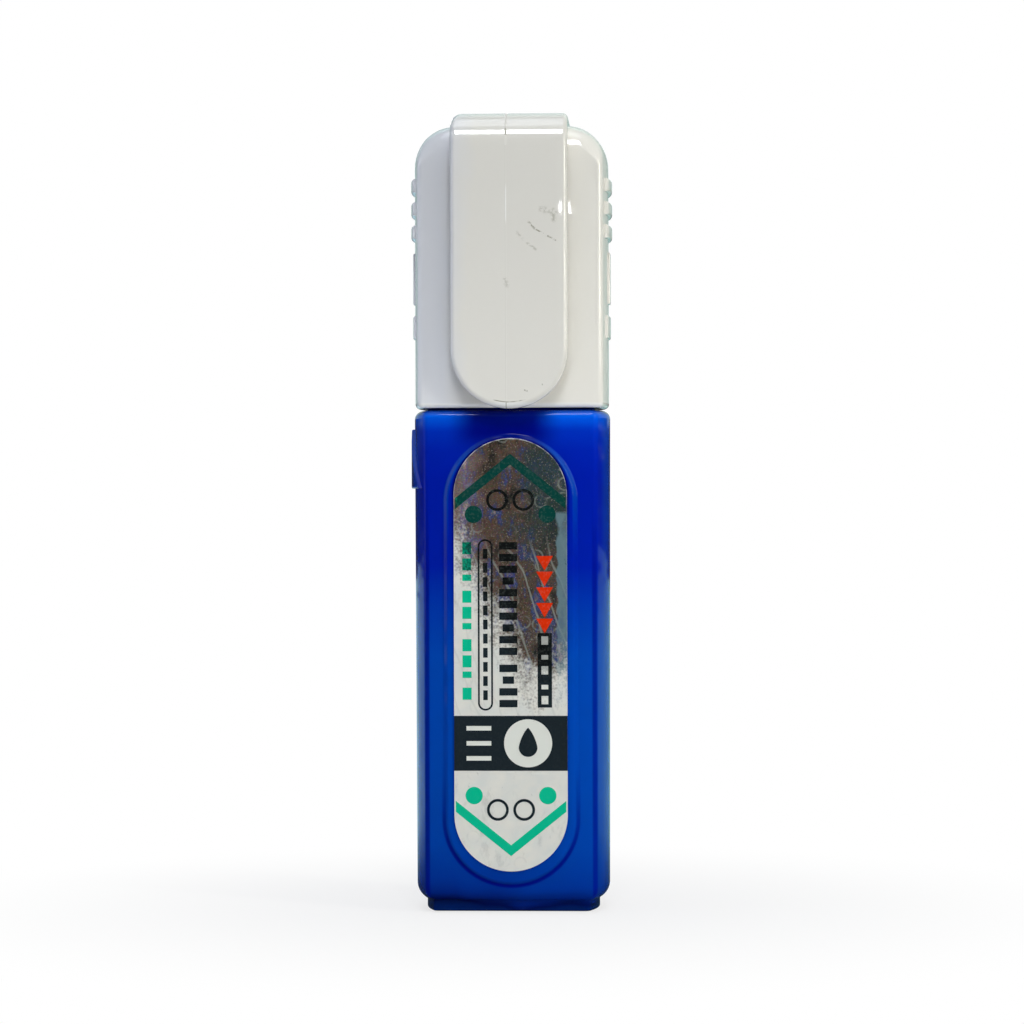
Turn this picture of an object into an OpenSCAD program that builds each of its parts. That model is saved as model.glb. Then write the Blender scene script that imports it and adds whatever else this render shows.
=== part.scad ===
// Correction pen: a squeezable bottle with a needle-valve metal tip and a pull-off cap
// with a pocket clip. Millimetres, +Z up. The origin is the centre of the foot's underside;
// the label and the clip face -Y.

/* [Bottle] */
// Width across the bulged sides, at the shoulder
bottle_w = 26.4; // [25.5:0.1:30]
// How much each side leans in from the shoulder down to the lower rim
bottle_draft = 0.2; // [0.05:0.05:0.3]
// Depth between the flat front and back faces
bottle_d = 14.4; // [13.8:0.2:17]
// Height from the lower rim to the shoulder
bottle_h = 65.4; // [63.5:0.1:80]
// Thickness of the front and back walls
face_wall = 1.2; // [1:0.1:1.5]
// Thickness of the side walls
side_wall = 1.5; // [1.3:0.1:2]
// Thickness of the shoulder
shoulder_t = 1.4; // [1.2:0.1:2.4]
// Radius of the bulge of each side, seen from above
bottle_bulge_r = 16; // [13:1:30]
// Radius of the four upright edges
bottle_edge_r = 0.9; // [0.6:0.1:1.4]
// Rounding of the shoulder, seen from the front
shoulder_side_r = 1.1; // [0.6:0.1:1.5]
// Rounding of the shoulder, seen from the side
shoulder_face_r = 0.9; // [0.5:0.1:1.3]
// Rounding of the lower rim, seen from the front
rim_side_r = 2.2; // [1.6:0.1:2.8]
// Rounding of the lower rim, seen from the side
rim_face_r = 1.6; // [1.2:0.1:2.4]
// Width of the flat land left on the lower rim
rim_land = 0.15; // [0.1:0.05:0.4]

/* [Squeeze panels] */
// Width of the raised panel on each face
panel_w = 18.1; // [16.6:0.1:19.5]
// Height of the raised panel
panel_h = 60.4; // [59:0.1:61.2]
// How far the panel stands out of the face
panel_rise = 0.5; // [0.3:0.05:0.8]
// Width of the sloped border of the panel
panel_bevel = 0.4; // [0.2:0.1:0.6]
// How far the middle of the panel sits below the middle of the bottle
panel_drop = 0.6; // [0.2:0.1:0.8]

/* [Label] */
// Width of the foil label
label_w = 15.1; // [12:0.1:16.2]
// Height of the foil label
label_h = 57.6; // [48:0.1:58]
// Thickness of the foil
label_t = 0.15; // [0.1:0.05:0.3]
// How far the middle of the label sits above the middle of its panel
label_up = 0.7; // [0:0.1:0.8]

/* [Arrow mark] */
// Width of the raised triangle on the left side, at its base
mark_w = 12.8; // [8:0.2:13.2]
// Height of the triangle
mark_h = 8; // [5:0.2:12]
// How far the triangle stands out of the side
mark_rise = 0.45; // [0.2:0.05:0.8]
// Distance from the shoulder down to the point of the triangle
mark_drop = 2.4; // [2:0.1:10]

/* [Base plug] */
// Height of the foot that shows below the rim
foot_h = 1.5; // [1:0.1:2.4]
// Depth that the plug reaches into the bottle
plug_depth = 4.6; // [3:0.2:8]
// Wall thickness of the plug
plug_wall = 1.2; // [0.8:0.1:1.8]
// Thickness of the plug's floor
plug_floor = 1.4; // [1:0.1:2]
// Rounding of the foot's lower edge
foot_r = 0.3; // [0.2:0.05:0.6]

/* [Neck] */
// Height of the spigot that the cap slides over
spigot_h = 5; // [4:0.2:7]
// Wall thickness of the spigot
spigot_wall = 1.2; // [0.9:0.1:1.6]
// Length of the snap bead on the spigot's front and back
bead_l = 9; // [5:0.5:14]
// How far the snap bead stands out
bead_rise = 0.1; // [0.06:0.02:0.14]
// Radius of the snap bead's rounded face
bead_r = 0.6; // [0.4:0.1:0.9]
// Width of the ledge between the spigot's front and the round neck
neck_ledge = 0.4; // [0.3:0.05:0.8]
// Wall thickness of the round neck
neck_wall = 1.2; // [0.9:0.1:1.4]
// Height of the round neck above the spigot
neck_h = 6; // [4:0.2:8]

/* [Cap] */
// Height of the cap's shell
cap_h = 38; // [37:0.1:44]
// How much narrower the cap is than the bottle, on each side
cap_step = 0.15; // [0.1:0.05:0.4]
// Wall thickness of the cap
cap_wall = 1.2; // [1:0.05:1.4]
// Thickness of the cap's top
cap_top_t = 1.6; // [1.2:0.1:2.4]
// Radius of the bulge of each side of the cap
cap_bulge_r = 34; // [24:1:50]
// Radius of the cap's four upright edges
cap_edge_r = 0.8; // [0.5:0.1:1.3]
// Radius of the four upright edges inside the cap
bore_edge_r = 0.5; // [0.3:0.05:0.8]
// Radius of the top corners, seen from the front
cap_side_round = 5.7; // [4:0.1:7]
// Radius of the top edges, seen from the side
cap_face_round = 4.4; // [3:0.1:5.4]
// Rounding of the mouth's edge
mouth_r = 0.6; // [0.3:0.05:0.7]
// Gap between the cap's mouth and the shoulder
cap_gap = 0.3; // [0.2:0.05:0.6]
// Outside diameter of the sleeve that holds the tip seal
sleeve_d = 8.6; // [8:0.1:9.6]
// Wall thickness of the sleeve
sleeve_wall = 1.2; // [0.8:0.1:1.4]
// Thickness of the tip seal above the needle's point
seal_top_t = 1.5; // [1:0.1:3]

/* [Clip] */
// Width of the pocket clip
clip_w = 15.6; // [12:0.2:18]
// Thickness of the clip
clip_t = 1.8; // [1.4:0.1:2.4]
// Slot between the clip and the cap's front
clip_slot = 1.5; // [1.2:0.1:2.6]
// How far the root of the clip stands above the cap's top
clip_rise = 1.2; // [1:0.1:2]
// Radius of the bend over the top edge
clip_bend_r = 4; // [3:0.1:4.6]
// How far the root reaches behind the middle of the cap's top
clip_root = 2.4; // [1:0.1:2.6]
// Rounding of the root's rear edge
clip_rear_r = 0.8; // [0.4:0.1:0.9]
// Rounding of the clip's top corners, seen from the front
clip_corner_r = 1; // [0.4:0.1:2]
// Rounding along the edges of the clip's front
clip_edge_r = 0.8; // [0.3:0.1:1.2]
// How far the clip's round end hangs below the cap's mouth
clip_end_drop = 0.2; // [0:0.05:1]
// How far the bead on the inside of the clip stands out
clip_bead_rise = 0.8; // [0.4:0.1:1]
// Length of that bead
clip_bead_l = 9; // [5:0.5:10]
// Distance from the clip's end up to its bead
clip_bead_up = 4.5; // [3.5:0.5:8]

/* [Grip ribs] */
// Number of grip ribs on each side of the cap
rib_count = 3; // [1:1:4]
// Height of one grip rib
rib_h = 1.8; // [1.2:0.1:2.2]
// Distance between the middles of two ribs
rib_pitch = 3.1; // [2.8:0.1:3.4]
// Width of the ribs, front to back
rib_w = 10.6; // [6:0.2:11]
// How far the ribs stand out of the side
rib_rise = 0.5; // [0.2:0.05:0.8]
// Distance from the cap's top down to the first rib's middle
rib_drop = 8.2; // [7.4:0.1:10]
// Width of the upright bar below the ribs
bar_w = 3.2; // [2:0.2:6]
// Height of the upright bar
bar_h = 6.9; // [4:0.1:9]
// Height of the pad near the cap's mouth
pad_h = 3; // [2:0.2:5]
// Width of the pad, front to back
pad_w = 8.6; // [4:0.2:10]
// How far the bar and the pad stand out of the side
bar_rise = 0.28; // [0.1:0.02:0.5]
// Gap between the lowest rib and the bar, and between the bar and the pad
bar_gap = 1.7; // [0.8:0.1:3]

/* [Nozzle] */
// Thickness of the nozzle's flange
flange_t = 2; // [1.4:0.1:3]
// Diameter of the bell where it leaves the flange
bell_base_d = 8.4; // [7.4:0.1:9]
// Diameter of the bell at its top
bell_top_d = 4.2; // [4:0.1:4.8]
// Height of the bell
bell_h = 8.5; // [7.5:0.1:10]
// Length of the nozzle's plug inside the neck
nozzle_plug_h = 7; // [6:0.5:9]
// Diameter of the valve chamber inside the nozzle
chamber_d = 5; // [4.4:0.1:5.6]

/* [Metal tip] */
// Diameter of the shank that is pressed into the nozzle
shank_d = 3.2; // [2.8:0.1:3.3]
// Length of the shank
shank_h = 7; // [5.5:0.1:7.4]
// Bore of the shank
shank_bore_d = 2.2; // [1.8:0.1:2.4]
// Diameter at the foot of the cone
cone_d = 3.8; // [3.6:0.1:3.9]
// Height of the cone
cone_h = 3; // [2:0.1:4]
// Height of the straight band at the foot of the cone
cone_land = 0.5; // [0.3:0.1:0.8]
// Distance from the foot of the cone up to where its bore narrows
throat_up = 1; // [0.6:0.1:1.2]
// Outside diameter of the tube
tube_d = 1.3; // [1.2:0.05:1.6]
// Bore of the tube
tube_bore_d = 0.9; // [0.84:0.02:1]
// Length of the tube above the cone
tube_h = 4.5; // [3:0.1:5.5]

/* [Valve] */
// Diameter of the needle's pin
pin_d = 0.72; // [0.5:0.02:0.76]
// How far the pin stands out of the tube
pin_out = 0.4; // [0.2:0.05:0.6]
// Diameter of the needle's stem
stem_d = 1.4; // [1:0.1:1.6]
// Diameter of the needle's flange
stop_d = 3.4; // [2.8:0.1:3.8]
// Thickness of the needle's flange
stop_t = 0.8; // [0.5:0.1:1.2]
// Length of the tail below the flange
tail_h = 5.4; // [3.5:0.1:6]
// Wire diameter of the valve spring
wire_d = 0.36; // [0.25:0.01:0.45]
// Turns of the valve spring
spring_turns = 6; // [4:1:9]
// Thickness of the spring's seat
seat_t = 2; // [1.4:0.1:2.6]
// Width of the four notches in the seat
notch_w = 1; // [0.6:0.1:1.4]
// Depth of the four notches in the seat
notch_depth = 0.5; // [0.3:0.1:0.7]

/* [Mixing ball] */
// Diameter of the mixing ball
ball_d = 5; // [3:0.5:7]
// Gap between the ball and the left wall of the plug
ball_gap = 2; // [0.5:0.5:7]

/* [Clearances] */
// Cap over the spigot, on each side
cap_slip = 0.2; // [0.16:0.02:0.4]
// Base plug in the bottle's lower opening, on each side
plug_slip = 0.05; // [0.03:0.01:0.2]
// Pressed pieces, on each side
press_slip = 0.02; // [0.01:0.01:0.05]
// Needle's tail in the hole of the seat, on each side
stem_slip = 0.2; // [0.1:0.05:0.3]
// Gap under the ball that lies on the plug's floor
rest_gap = 0.02; // [0.01:0.01:0.05]
// Gap at soft seats and stops
seat_gap = 0.1; // [0.05:0.01:0.2]

/* [Hidden] */

join = 0.4;          // how far a solid reaches into the one it grows from
far = 60;            // longer than anything that has to be cut through
hair = 0.1;          // keeps a cutting outline just clear of a bulge
strips = 4;          // flat strips that round one upright edge

cap_w = bottle_w - 2 * cap_step;
bore_w = cap_w - 2 * cap_wall;               // inside of the cap
bore_d = bottle_d - 2 * cap_wall;
spigot_w = bore_w - 2 * cap_slip;
spigot_d = bore_d - 2 * cap_slip;
spigot_bulge_r = cap_bulge_r - cap_wall - cap_slip;
neck_d = spigot_d - 2 * neck_ledge;
neck_bore_d = neck_d - 2 * neck_wall;
inside_w = bottle_w - 2 * side_wall;         // inside of the bottle
inside_d = bottle_d - 2 * face_wall;
inside_bulge_r = bottle_bulge_r - side_wall;
plug_w = inside_w - 2 * plug_slip;
plug_d = inside_d - 2 * plug_slip;

z_shoulder = foot_h + bottle_h;
z_middle = foot_h + bottle_h / 2 - panel_drop;   // middle of the squeeze panels
z_spigot = z_shoulder + spigot_h;
z_neck = z_spigot + neck_h;
z_bell = z_neck + flange_t;
z_bell_top = z_bell + bell_h;
z_cone_top = z_bell_top + cone_h;
z_tube_top = z_cone_top + tube_h;
z_pin_top = z_tube_top + pin_out;
z_nozzle_low = z_neck - nozzle_plug_h;
z_chamber_top = z_bell_top - shank_h;
z_stop = z_chamber_top - press_slip;         // top face of the needle's flange
z_spring_top = z_stop - stop_t;
z_seat = z_nozzle_low + seat_t;
z_mouth = z_shoulder + cap_gap;
z_cap_top = z_mouth + cap_h;
z_ceiling = z_cap_top - cap_top_t;
z_seal_low = z_bell_top + seat_gap;
z_seal_top = z_pin_top + seal_top_t;
seal_d = sleeve_d - 2 * sleeve_wall;
clip_front = bottle_d / 2 + clip_slot + clip_t;
clip_inner = clip_front - clip_t;
z_clip_end = z_mouth - clip_end_drop;
z_clip_round = z_clip_end + clip_w / 2;      // centre of the clip's round end
z_clip_top = z_cap_top + clip_rise;

// How much of a rounding has to be cut off so that it comes in only by the given depth
function cut_off(r, depth) = depth >= r ? 0 : r - sqrt(r * r - pow(r - depth, 2));

// Outline seen from above: flat front and back, bulged sides, edges rounded in narrow strips
module plan(w, d, bulge_r, edge_r) {
    bulge_x = w / 2 - bulge_r;
    edge_y = d / 2 - edge_r;
    edge_x = bulge_x + sqrt(pow(bulge_r - edge_r, 2) - edge_y * edge_y);
    last = atan2(edge_y, edge_x - bulge_x);
    corner = [for (i = [0:strips]) let (a = 90 + (last - 90) * i / strips)
                 [edge_x + edge_r * cos(a), edge_y + edge_r * sin(a)]];
    run = corner[strips] - corner[strips - 1];
    beyond = corner[strips] + run * (w / 2 + 2 * hair - corner[strips][0]) / run[0];
    quarter = concat(corner, [beyond]);
    intersection() {
        translate([bulge_x, 0]) circle(bulge_r, $fn = 180);
        translate([-bulge_x, 0]) circle(bulge_r, $fn = 180);
        polygon(concat(quarter,
                       [for (i = [strips + 1:-1:0]) [quarter[i][0], -quarter[i][1]]],
                       [for (p = quarter) -p],
                       [for (i = [strips + 1:-1:0]) [-quarter[i][0], quarter[i][1]]]));
    }
}

// Upright outline from z = low to z = high with round corners
module view_outline(w, low, high, top_r, low_r) {
    translate([-w / 2, low + low_r]) square([w, high - low - top_r - low_r]);
    translate([-w / 2 + top_r, low + low_r]) square([w - 2 * top_r, high - low - low_r]);
    translate([-w / 2 + low_r, low]) square([w - 2 * low_r, high - low - top_r]);
    for (s = [-1, 1]) {
        translate([s * (w / 2 - top_r), high - top_r]) circle(top_r, $fn = 96);
        translate([s * (w / 2 - low_r), low + low_r]) circle(low_r, $fn = 64);
    }
}

// Runs a front view right through, from front to back
module through_front() {
    translate([0, far / 2, 0]) rotate([90, 0, 0]) linear_extrude(far) children();
}

// Runs a side view right through, from left to right
module through_side() {
    translate([-far / 2, 0, 0]) rotate([90, 0, 90]) linear_extrude(far) children();
}

// Lays a front view on the front: it reaches from y = -from to y = -to
module on_front(from, to) {
    translate([0, -from, 0]) rotate([90, 0, 0]) linear_extrude(to - from) children();
}

// Outline with round ends at the top and the bottom
module stadium(w, h) {
    translate([0, h / 2 - w / 2]) circle(w / 2, $fn = 120);
    translate([0, w / 2 - h / 2]) circle(w / 2, $fn = 120);
    square([w, h - w], center = true);
}

// The bottle's plan run down from the shoulder and leaned to one side
module leaning_plan(angle) {
    translate([0, 0, z_shoulder]) rotate([0, angle, 0]) translate([0, 0, -bottle_h - join])
        linear_extrude(bottle_h + 2 * join) plan(bottle_w, bottle_d, bottle_bulge_r, bottle_edge_r);
}

// Front view that rounds the lower rim and widens upwards
module rim_outline(w, low, r) {
    wide = w + 2 * bottle_draft + hair;
    for (s = [-1, 1]) translate([s * (w / 2 - r), low + r]) circle(r, $fn = 64);
    translate([r - w / 2, low]) square([w - 2 * r, 2 * r]);
    polygon([[-w / 2, low + r], [w / 2, low + r],
             [wide / 2, z_shoulder + join], [-wide / 2, z_shoulder + join]]);
}

// Two leaning runs leave both sides drafted; the front and the back stay upright
module bottle_body() {
    lean = atan(bottle_draft / bottle_h);
    side_cut = cut_off(rim_side_r, side_wall - bottle_draft - rim_land);
    face_cut = cut_off(rim_face_r, face_wall - rim_land);
    intersection() {
        leaning_plan(lean);
        leaning_plan(-lean);
        translate([-far / 2, -far / 2, foot_h]) cube([far, far, bottle_h]);
        through_side() view_outline(bottle_d, foot_h - face_cut, z_shoulder,
                                    shoulder_face_r, rim_face_r);
        through_front() view_outline(bottle_w + hair, foot_h - side_cut - join, z_shoulder,
                                     shoulder_side_r, rim_side_r);
        through_front() rim_outline(bottle_w - 2 * bottle_draft + hair, foot_h - side_cut,
                                    rim_side_r);
    }
}

module bottle_cavity() {
    translate([0, 0, foot_h - join])
        linear_extrude(bottle_h + join - shoulder_t)
            plan(inside_w, inside_d, inside_bulge_r, bore_edge_r);
    translate([0, 0, z_shoulder - shoulder_t - join])
        linear_extrude(shoulder_t + spigot_h + join - spigot_wall)
            plan(spigot_w - 2 * spigot_wall, spigot_d - 2 * spigot_wall,
                 spigot_bulge_r - spigot_wall, bore_edge_r);
    translate([0, 0, z_shoulder]) cylinder(d = neck_bore_d, h = spigot_h + neck_h + join, $fn = 96);
}

// Raised panel with a sloped border and round ends, on the front
module squeeze_panel() {
    y0 = bottle_d / 2 - join;
    rise = panel_rise + join;
    low_r = panel_w / 2;
    top_r = low_r - panel_bevel;
    reach = panel_h / 2 - low_r;
    wide_r = low_r + panel_bevel * join / panel_rise;
    translate([0, 0, z_middle]) {
        for (s = [-1, 1])
            translate([0, -y0, s * reach]) rotate([90, 0, 0])
                cylinder(r1 = wide_r, r2 = top_r, h = rise, $fn = 120);
        translate([0, 0, -reach]) linear_extrude(2 * reach)
            polygon([[-wide_r, -y0], [wide_r, -y0], [top_r, -y0 - rise], [-top_r, -y0 - rise]]);
    }
}

// Raised triangle on the left side, pointing up
module arrow_mark() {
    tip_z = z_shoulder - mark_drop;
    intersection() {
        translate([-bottle_w / 2 - far / 2, 0, 0]) rotate([90, 0, 90])
            linear_extrude(far / 2 + 2 * side_wall)
                polygon([[0, tip_z], [-mark_w / 2, tip_z - mark_h], [mark_w / 2, tip_z - mark_h]]);
        translate([bottle_bulge_r - bottle_w / 2, 0, tip_z - mark_h - join])
            cylinder(r = bottle_bulge_r + mark_rise, h = mark_h + 2 * join, $fn = 180);
    }
}

module snap_bead() {
    for (s = [-1, 1])
        translate([-bead_l / 2, s * (spigot_d / 2 + bead_rise - bead_r), z_shoulder + spigot_h / 2])
            rotate([0, 90, 0]) cylinder(r = bead_r, h = bead_l, $fn = 48);
}

module bottle() {
    color("#0a3fae")
        difference() {
            union() {
                bottle_body();
                squeeze_panel();
                mirror([0, 1, 0]) squeeze_panel();
                arrow_mark();
                translate([0, 0, z_shoulder - shoulder_t / 2])
                    linear_extrude(spigot_h + shoulder_t / 2)
                        plan(spigot_w, spigot_d, spigot_bulge_r, bore_edge_r);
                snap_bead();
                translate([0, 0, z_spigot - join]) cylinder(d = neck_d, h = neck_h + join, $fn = 96);
            }
            bottle_cavity();
        }
}

// Closes the bottle's lower opening; its lower end is the foot
module base_plug() {
    color("#0a3a9c")
        difference() {
            intersection() {
                linear_extrude(foot_h + plug_depth)
                    plan(plug_w, plug_d, inside_bulge_r - plug_slip, bore_edge_r);
                through_side() view_outline(plug_d, 0, far, join, foot_r);
                through_front() view_outline(plug_w + hair, 0, far, join, foot_r);
            }
            translate([0, 0, plug_floor])
                linear_extrude(far)
                    plan(plug_w - 2 * plug_wall, plug_d - 2 * plug_wall,
                         inside_bulge_r - plug_slip - plug_wall, bore_edge_r);
        }
}

module front_label() {
    face = bottle_d / 2 + panel_rise;
    color("#c9ccc8")
        translate([0, 0, z_middle + label_up])
            on_front(face, face + label_t) stadium(label_w, label_h);
}

module mixing_ball() {
    ball_x = plug_w / 2 - plug_wall - ball_gap - ball_d / 2;
    color("#b8bcc0")
        translate([-ball_x, 0, plug_floor + ball_d / 2 + rest_gap]) sphere(d = ball_d, $fn = 64);
}

// Half section of the bell: its outline is an arc that runs out upright at the top
module bell_section() {
    base_r = bell_base_d / 2;
    top_r = bell_top_d / 2;
    flare = base_r - top_r;
    arc_r = (flare * flare + bell_h * bell_h) / (2 * flare);
    difference() {
        translate([0, z_bell - join]) square([base_r, bell_h + join]);
        translate([top_r + arc_r, z_bell_top]) circle(arc_r, $fn = 360);
    }
}

module nozzle() {
    color("#eceae4")
        difference() {
            union() {
                rotate_extrude($fn = 96) bell_section();
                translate([0, 0, z_neck]) cylinder(d = neck_d, h = flange_t, $fn = 96);
                translate([0, 0, z_nozzle_low])
                    cylinder(d = neck_bore_d - 2 * press_slip, h = nozzle_plug_h + join, $fn = 96);
            }
            translate([0, 0, z_nozzle_low - join])
                cylinder(d = chamber_d, h = z_chamber_top - z_nozzle_low + join, $fn = 96);
            translate([0, 0, z_chamber_top - join])
                cylinder(d = shank_d + 2 * press_slip, h = shank_h + 2 * join, $fn = 96);
        }
}

// Turned tip: shank, cone and tube in one piece, bored right through
module metal_tip() {
    throat_z = z_bell_top + throat_up;
    throat_h = (shank_bore_d - tube_bore_d) / 2;
    color("#c4c6c8")
        rotate_extrude($fn = 96)
            polygon([[shank_bore_d / 2, z_chamber_top], [shank_d / 2, z_chamber_top],
                     [shank_d / 2, z_bell_top], [cone_d / 2, z_bell_top],
                     [cone_d / 2, z_bell_top + cone_land],
                     [tube_d / 2, z_cone_top], [tube_d / 2, z_tube_top],
                     [tube_bore_d / 2, z_tube_top], [tube_bore_d / 2, throat_z + throat_h],
                     [shank_bore_d / 2, throat_z]]);
}

// Needle: the pin shows at the tip, the flange closes the shank's lower end
module valve_needle() {
    color("#a9acb0")
        rotate_extrude($fn = 64)
            polygon([[0, z_spring_top - tail_h], [stem_d / 2, z_spring_top - tail_h],
                     [stem_d / 2, z_spring_top], [stop_d / 2, z_spring_top], [stop_d / 2, z_stop],
                     [stem_d / 2, z_stop], [stem_d / 2, z_bell_top],
                     [pin_d / 2, z_bell_top + (stem_d - pin_d) / 2],
                     [pin_d / 2, z_pin_top - pin_d / 4], [pin_d / 4, z_pin_top], [0, z_pin_top]]);
}

// Points of one ring round the spring's wire, at a share t of its length
function wire_ring(t, coil_r, z0, rise, sides) = [
    for (k = [0:sides - 1])
        let (turn = 360 * spring_turns * t, across = coil_r + wire_d / 2 * cos(360 * k / sides))
            [across * cos(turn), across * sin(turn),
             z0 + rise * t + wire_d / 2 * sin(360 * k / sides)]];

module valve_spring() {
    sides = 8;
    rings = spring_turns * 16;
    coil_r = stop_d / 2 - wire_d / 2;
    z0 = z_seat + wire_d / 2;
    rise = z_spring_top - wire_d / 2 - z0;
    points = [for (i = [0:rings]) each wire_ring(i / rings, coil_r, z0, rise, sides)];
    walls = [for (i = [0:rings - 1], k = [0:sides - 1])
                let (a = i * sides + k, b = i * sides + (k + 1) % sides)
                    [a, a + sides, b + sides, b]];
    ends = [[for (k = [0:sides - 1]) k],
            [for (k = [0:sides - 1]) rings * sides + sides - 1 - k]];
    color("#8f9296") polyhedron(points = points, faces = concat(walls, ends));
}

// Perforated insert that the spring stands on; the fluid passes through its notches
module spring_seat() {
    color("#dedcd4")
        translate([0, 0, z_nozzle_low])
            difference() {
                cylinder(d = chamber_d - 2 * press_slip, h = seat_t, $fn = 64);
                translate([0, 0, -join])
                    cylinder(d = stem_d + 2 * stem_slip, h = seat_t + 2 * join, $fn = 48);
                for (a = [0:90:270])
                    rotate(a) translate([chamber_d / 2 - notch_depth, -notch_w / 2, -join])
                        cube([2 * notch_depth, notch_w, seat_t + 2 * join]);
            }
}

module cap_body() {
    intersection() {
        translate([0, 0, z_mouth])
            linear_extrude(cap_h) plan(cap_w, bottle_d, cap_bulge_r, cap_edge_r);
        through_side() view_outline(bottle_d, z_mouth, z_cap_top, cap_face_round, mouth_r);
        through_front() view_outline(cap_w + hair, z_mouth, z_cap_top, cap_side_round, mouth_r);
    }
}

module cap_cavity() {
    low = z_mouth - join;
    intersection() {
        translate([0, 0, low])
            linear_extrude(z_ceiling - low) plan(bore_w, bore_d, cap_bulge_r - cap_wall, bore_edge_r);
        through_side() view_outline(bore_d, low - 2 * join, z_ceiling,
                                    cap_face_round - cap_wall, join);
        through_front() view_outline(bore_w + hair, low - 2 * join, z_ceiling,
                                     cap_side_round - cap_wall, join);
    }
}

// Side view of the clip above its round end: depth towards the front, and height
module clip_profile() {
    slot_r = clip_slot / 2;
    arch_z = z_cap_top - cap_face_round - clip_slot;
    block_u = bottle_d / 2 - cap_face_round;
    difference() {
        union() {
            translate([clip_inner, z_clip_round])
                square([clip_t, z_clip_top - clip_bend_r - z_clip_round]);
            translate([block_u, arch_z])
                square([clip_front - block_u, z_clip_top - clip_bend_r - arch_z]);
            translate([block_u, z_cap_top - cap_top_t / 2])
                square([clip_front - clip_bend_r - block_u, clip_rise + cap_top_t / 2]);
            translate([-clip_root, z_cap_top - cap_top_t / 2])
                square([clip_root + clip_front - clip_bend_r,
                        clip_rise + cap_top_t / 2 - clip_rear_r]);
            translate([clip_rear_r - clip_root, z_clip_top - clip_rear_r - join])
                square([clip_root + clip_front - clip_bend_r - clip_rear_r, clip_rear_r + join]);
            translate([clip_front - clip_bend_r, z_clip_top - clip_bend_r]) circle(clip_bend_r, $fn = 96);
            translate([clip_rear_r - clip_root, z_clip_top - clip_rear_r]) circle(clip_rear_r, $fn = 48);
        }
        translate([bottle_d / 2 + slot_r, arch_z]) circle(slot_r, $fn = 48);
    }
}

// Section across the clip, seen from above, with the front edges rounded
module clip_section(rear) {
    half = clip_w / 2;
    translate([-half, -rear]) square([clip_w, rear + clip_front - clip_edge_r]);
    translate([clip_edge_r - half, -rear]) square([clip_w - 2 * clip_edge_r, rear + clip_front]);
    for (s = [-1, 1])
        translate([s * (half - clip_edge_r), clip_front - clip_edge_r]) circle(clip_edge_r, $fn = 48);
}

// Half section of the round end: distance from its centre, and depth
module clip_end_section() {
    half = clip_w / 2;
    translate([0, clip_inner]) square([half, clip_t - clip_edge_r]);
    translate([0, clip_inner]) square([half - clip_edge_r, clip_t]);
    translate([half - clip_edge_r, clip_front - clip_edge_r]) circle(clip_edge_r, $fn = 48);
}

module clip() {
    intersection() {
        rotate([90, 0, -90]) translate([0, 0, -far / 2]) linear_extrude(far) clip_profile();
        translate([0, 0, z_clip_round]) linear_extrude(far) mirror([0, 1]) clip_section(2 * clip_root);
        through_front() view_outline(clip_w, z_clip_round - 2 * join, z_clip_top, clip_corner_r, join);
    }
    translate([0, 0, z_clip_round]) rotate([90, 0, 0])
        rotate_extrude(angle = 180, start = 180, $fn = 120) clip_end_section();
    translate([-clip_bead_l / 2, -clip_inner, z_clip_end + clip_bead_up])
        rotate([0, 90, 0]) cylinder(r = clip_bead_rise, h = clip_bead_l, $fn = 48);
}

// A raised shape on the right side of the cap that follows its bulge
module raised(rise, z, w, h) {
    intersection() {
        translate([cap_w / 2 - cap_wall / 2, -w / 2, z - h / 2]) cube([far, w, h]);
        translate([cap_w / 2 - cap_bulge_r, 0, z - h])
            cylinder(r = cap_bulge_r + rise, h = 2 * h, $fn = 360);
    }
}

module grip() {
    rib_low = z_cap_top - rib_drop - (rib_count - 1) * rib_pitch - rib_h / 2;
    bar_z = rib_low - bar_gap - bar_h / 2;
    pad_z = bar_z - bar_h / 2 - bar_gap - pad_h / 2;
    for (i = [0:rib_count - 1])
        raised(rib_rise, z_cap_top - rib_drop - i * rib_pitch, rib_w, rib_h);
    raised(bar_rise, bar_z, bar_w, bar_h);
    raised(bar_rise, pad_z, pad_w, pad_h);
}

module cap() {
    color("#e4e4de") {
        difference() {
            union() {
                difference() {
                    union() {
                        cap_body();
                        clip();
                        grip();
                        mirror([1, 0, 0]) grip();
                    }
                    cap_cavity();
                }
                translate([0, 0, z_seal_low])
                    cylinder(d = sleeve_d, h = z_ceiling - z_seal_low + join, $fn = 96);
            }
            translate([0, 0, z_seal_low - join])
                cylinder(d = seal_d, h = z_seal_top - z_seal_low + join, $fn = 96);
        }
    }
}

// Soft plug in the cap's sleeve: it closes over the cone and the tube
module tip_seal() {
    color("#8e9496")
        difference() {
            translate([0, 0, z_seal_low])
                cylinder(d = seal_d - 2 * press_slip, h = z_seal_top - z_seal_low, $fn = 96);
            translate([0, 0, z_bell_top + cone_land])
                cylinder(r1 = cone_d / 2 + seat_gap, r2 = tube_d / 2 + seat_gap,
                         h = cone_h - cone_land, $fn = 96);
            translate([0, 0, z_bell_top - join])
                cylinder(d = cone_d + 2 * seat_gap, h = cone_land + join, $fn = 96);
            translate([0, 0, z_bell_top]) cylinder(d = tube_d + 2 * seat_gap,
                h = z_pin_top - z_bell_top + seat_gap, $fn = 48);
        }
}

bottle();
base_plug();
front_label();
mixing_ball();
nozzle();
metal_tip();
valve_needle();
valve_spring();
spring_seat();
cap();
tip_seal();
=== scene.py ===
import math

import bmesh
import bpy
from bmesh.types import BMEdge, BMFace, BMVert
from mathutils import Matrix, Vector


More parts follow.
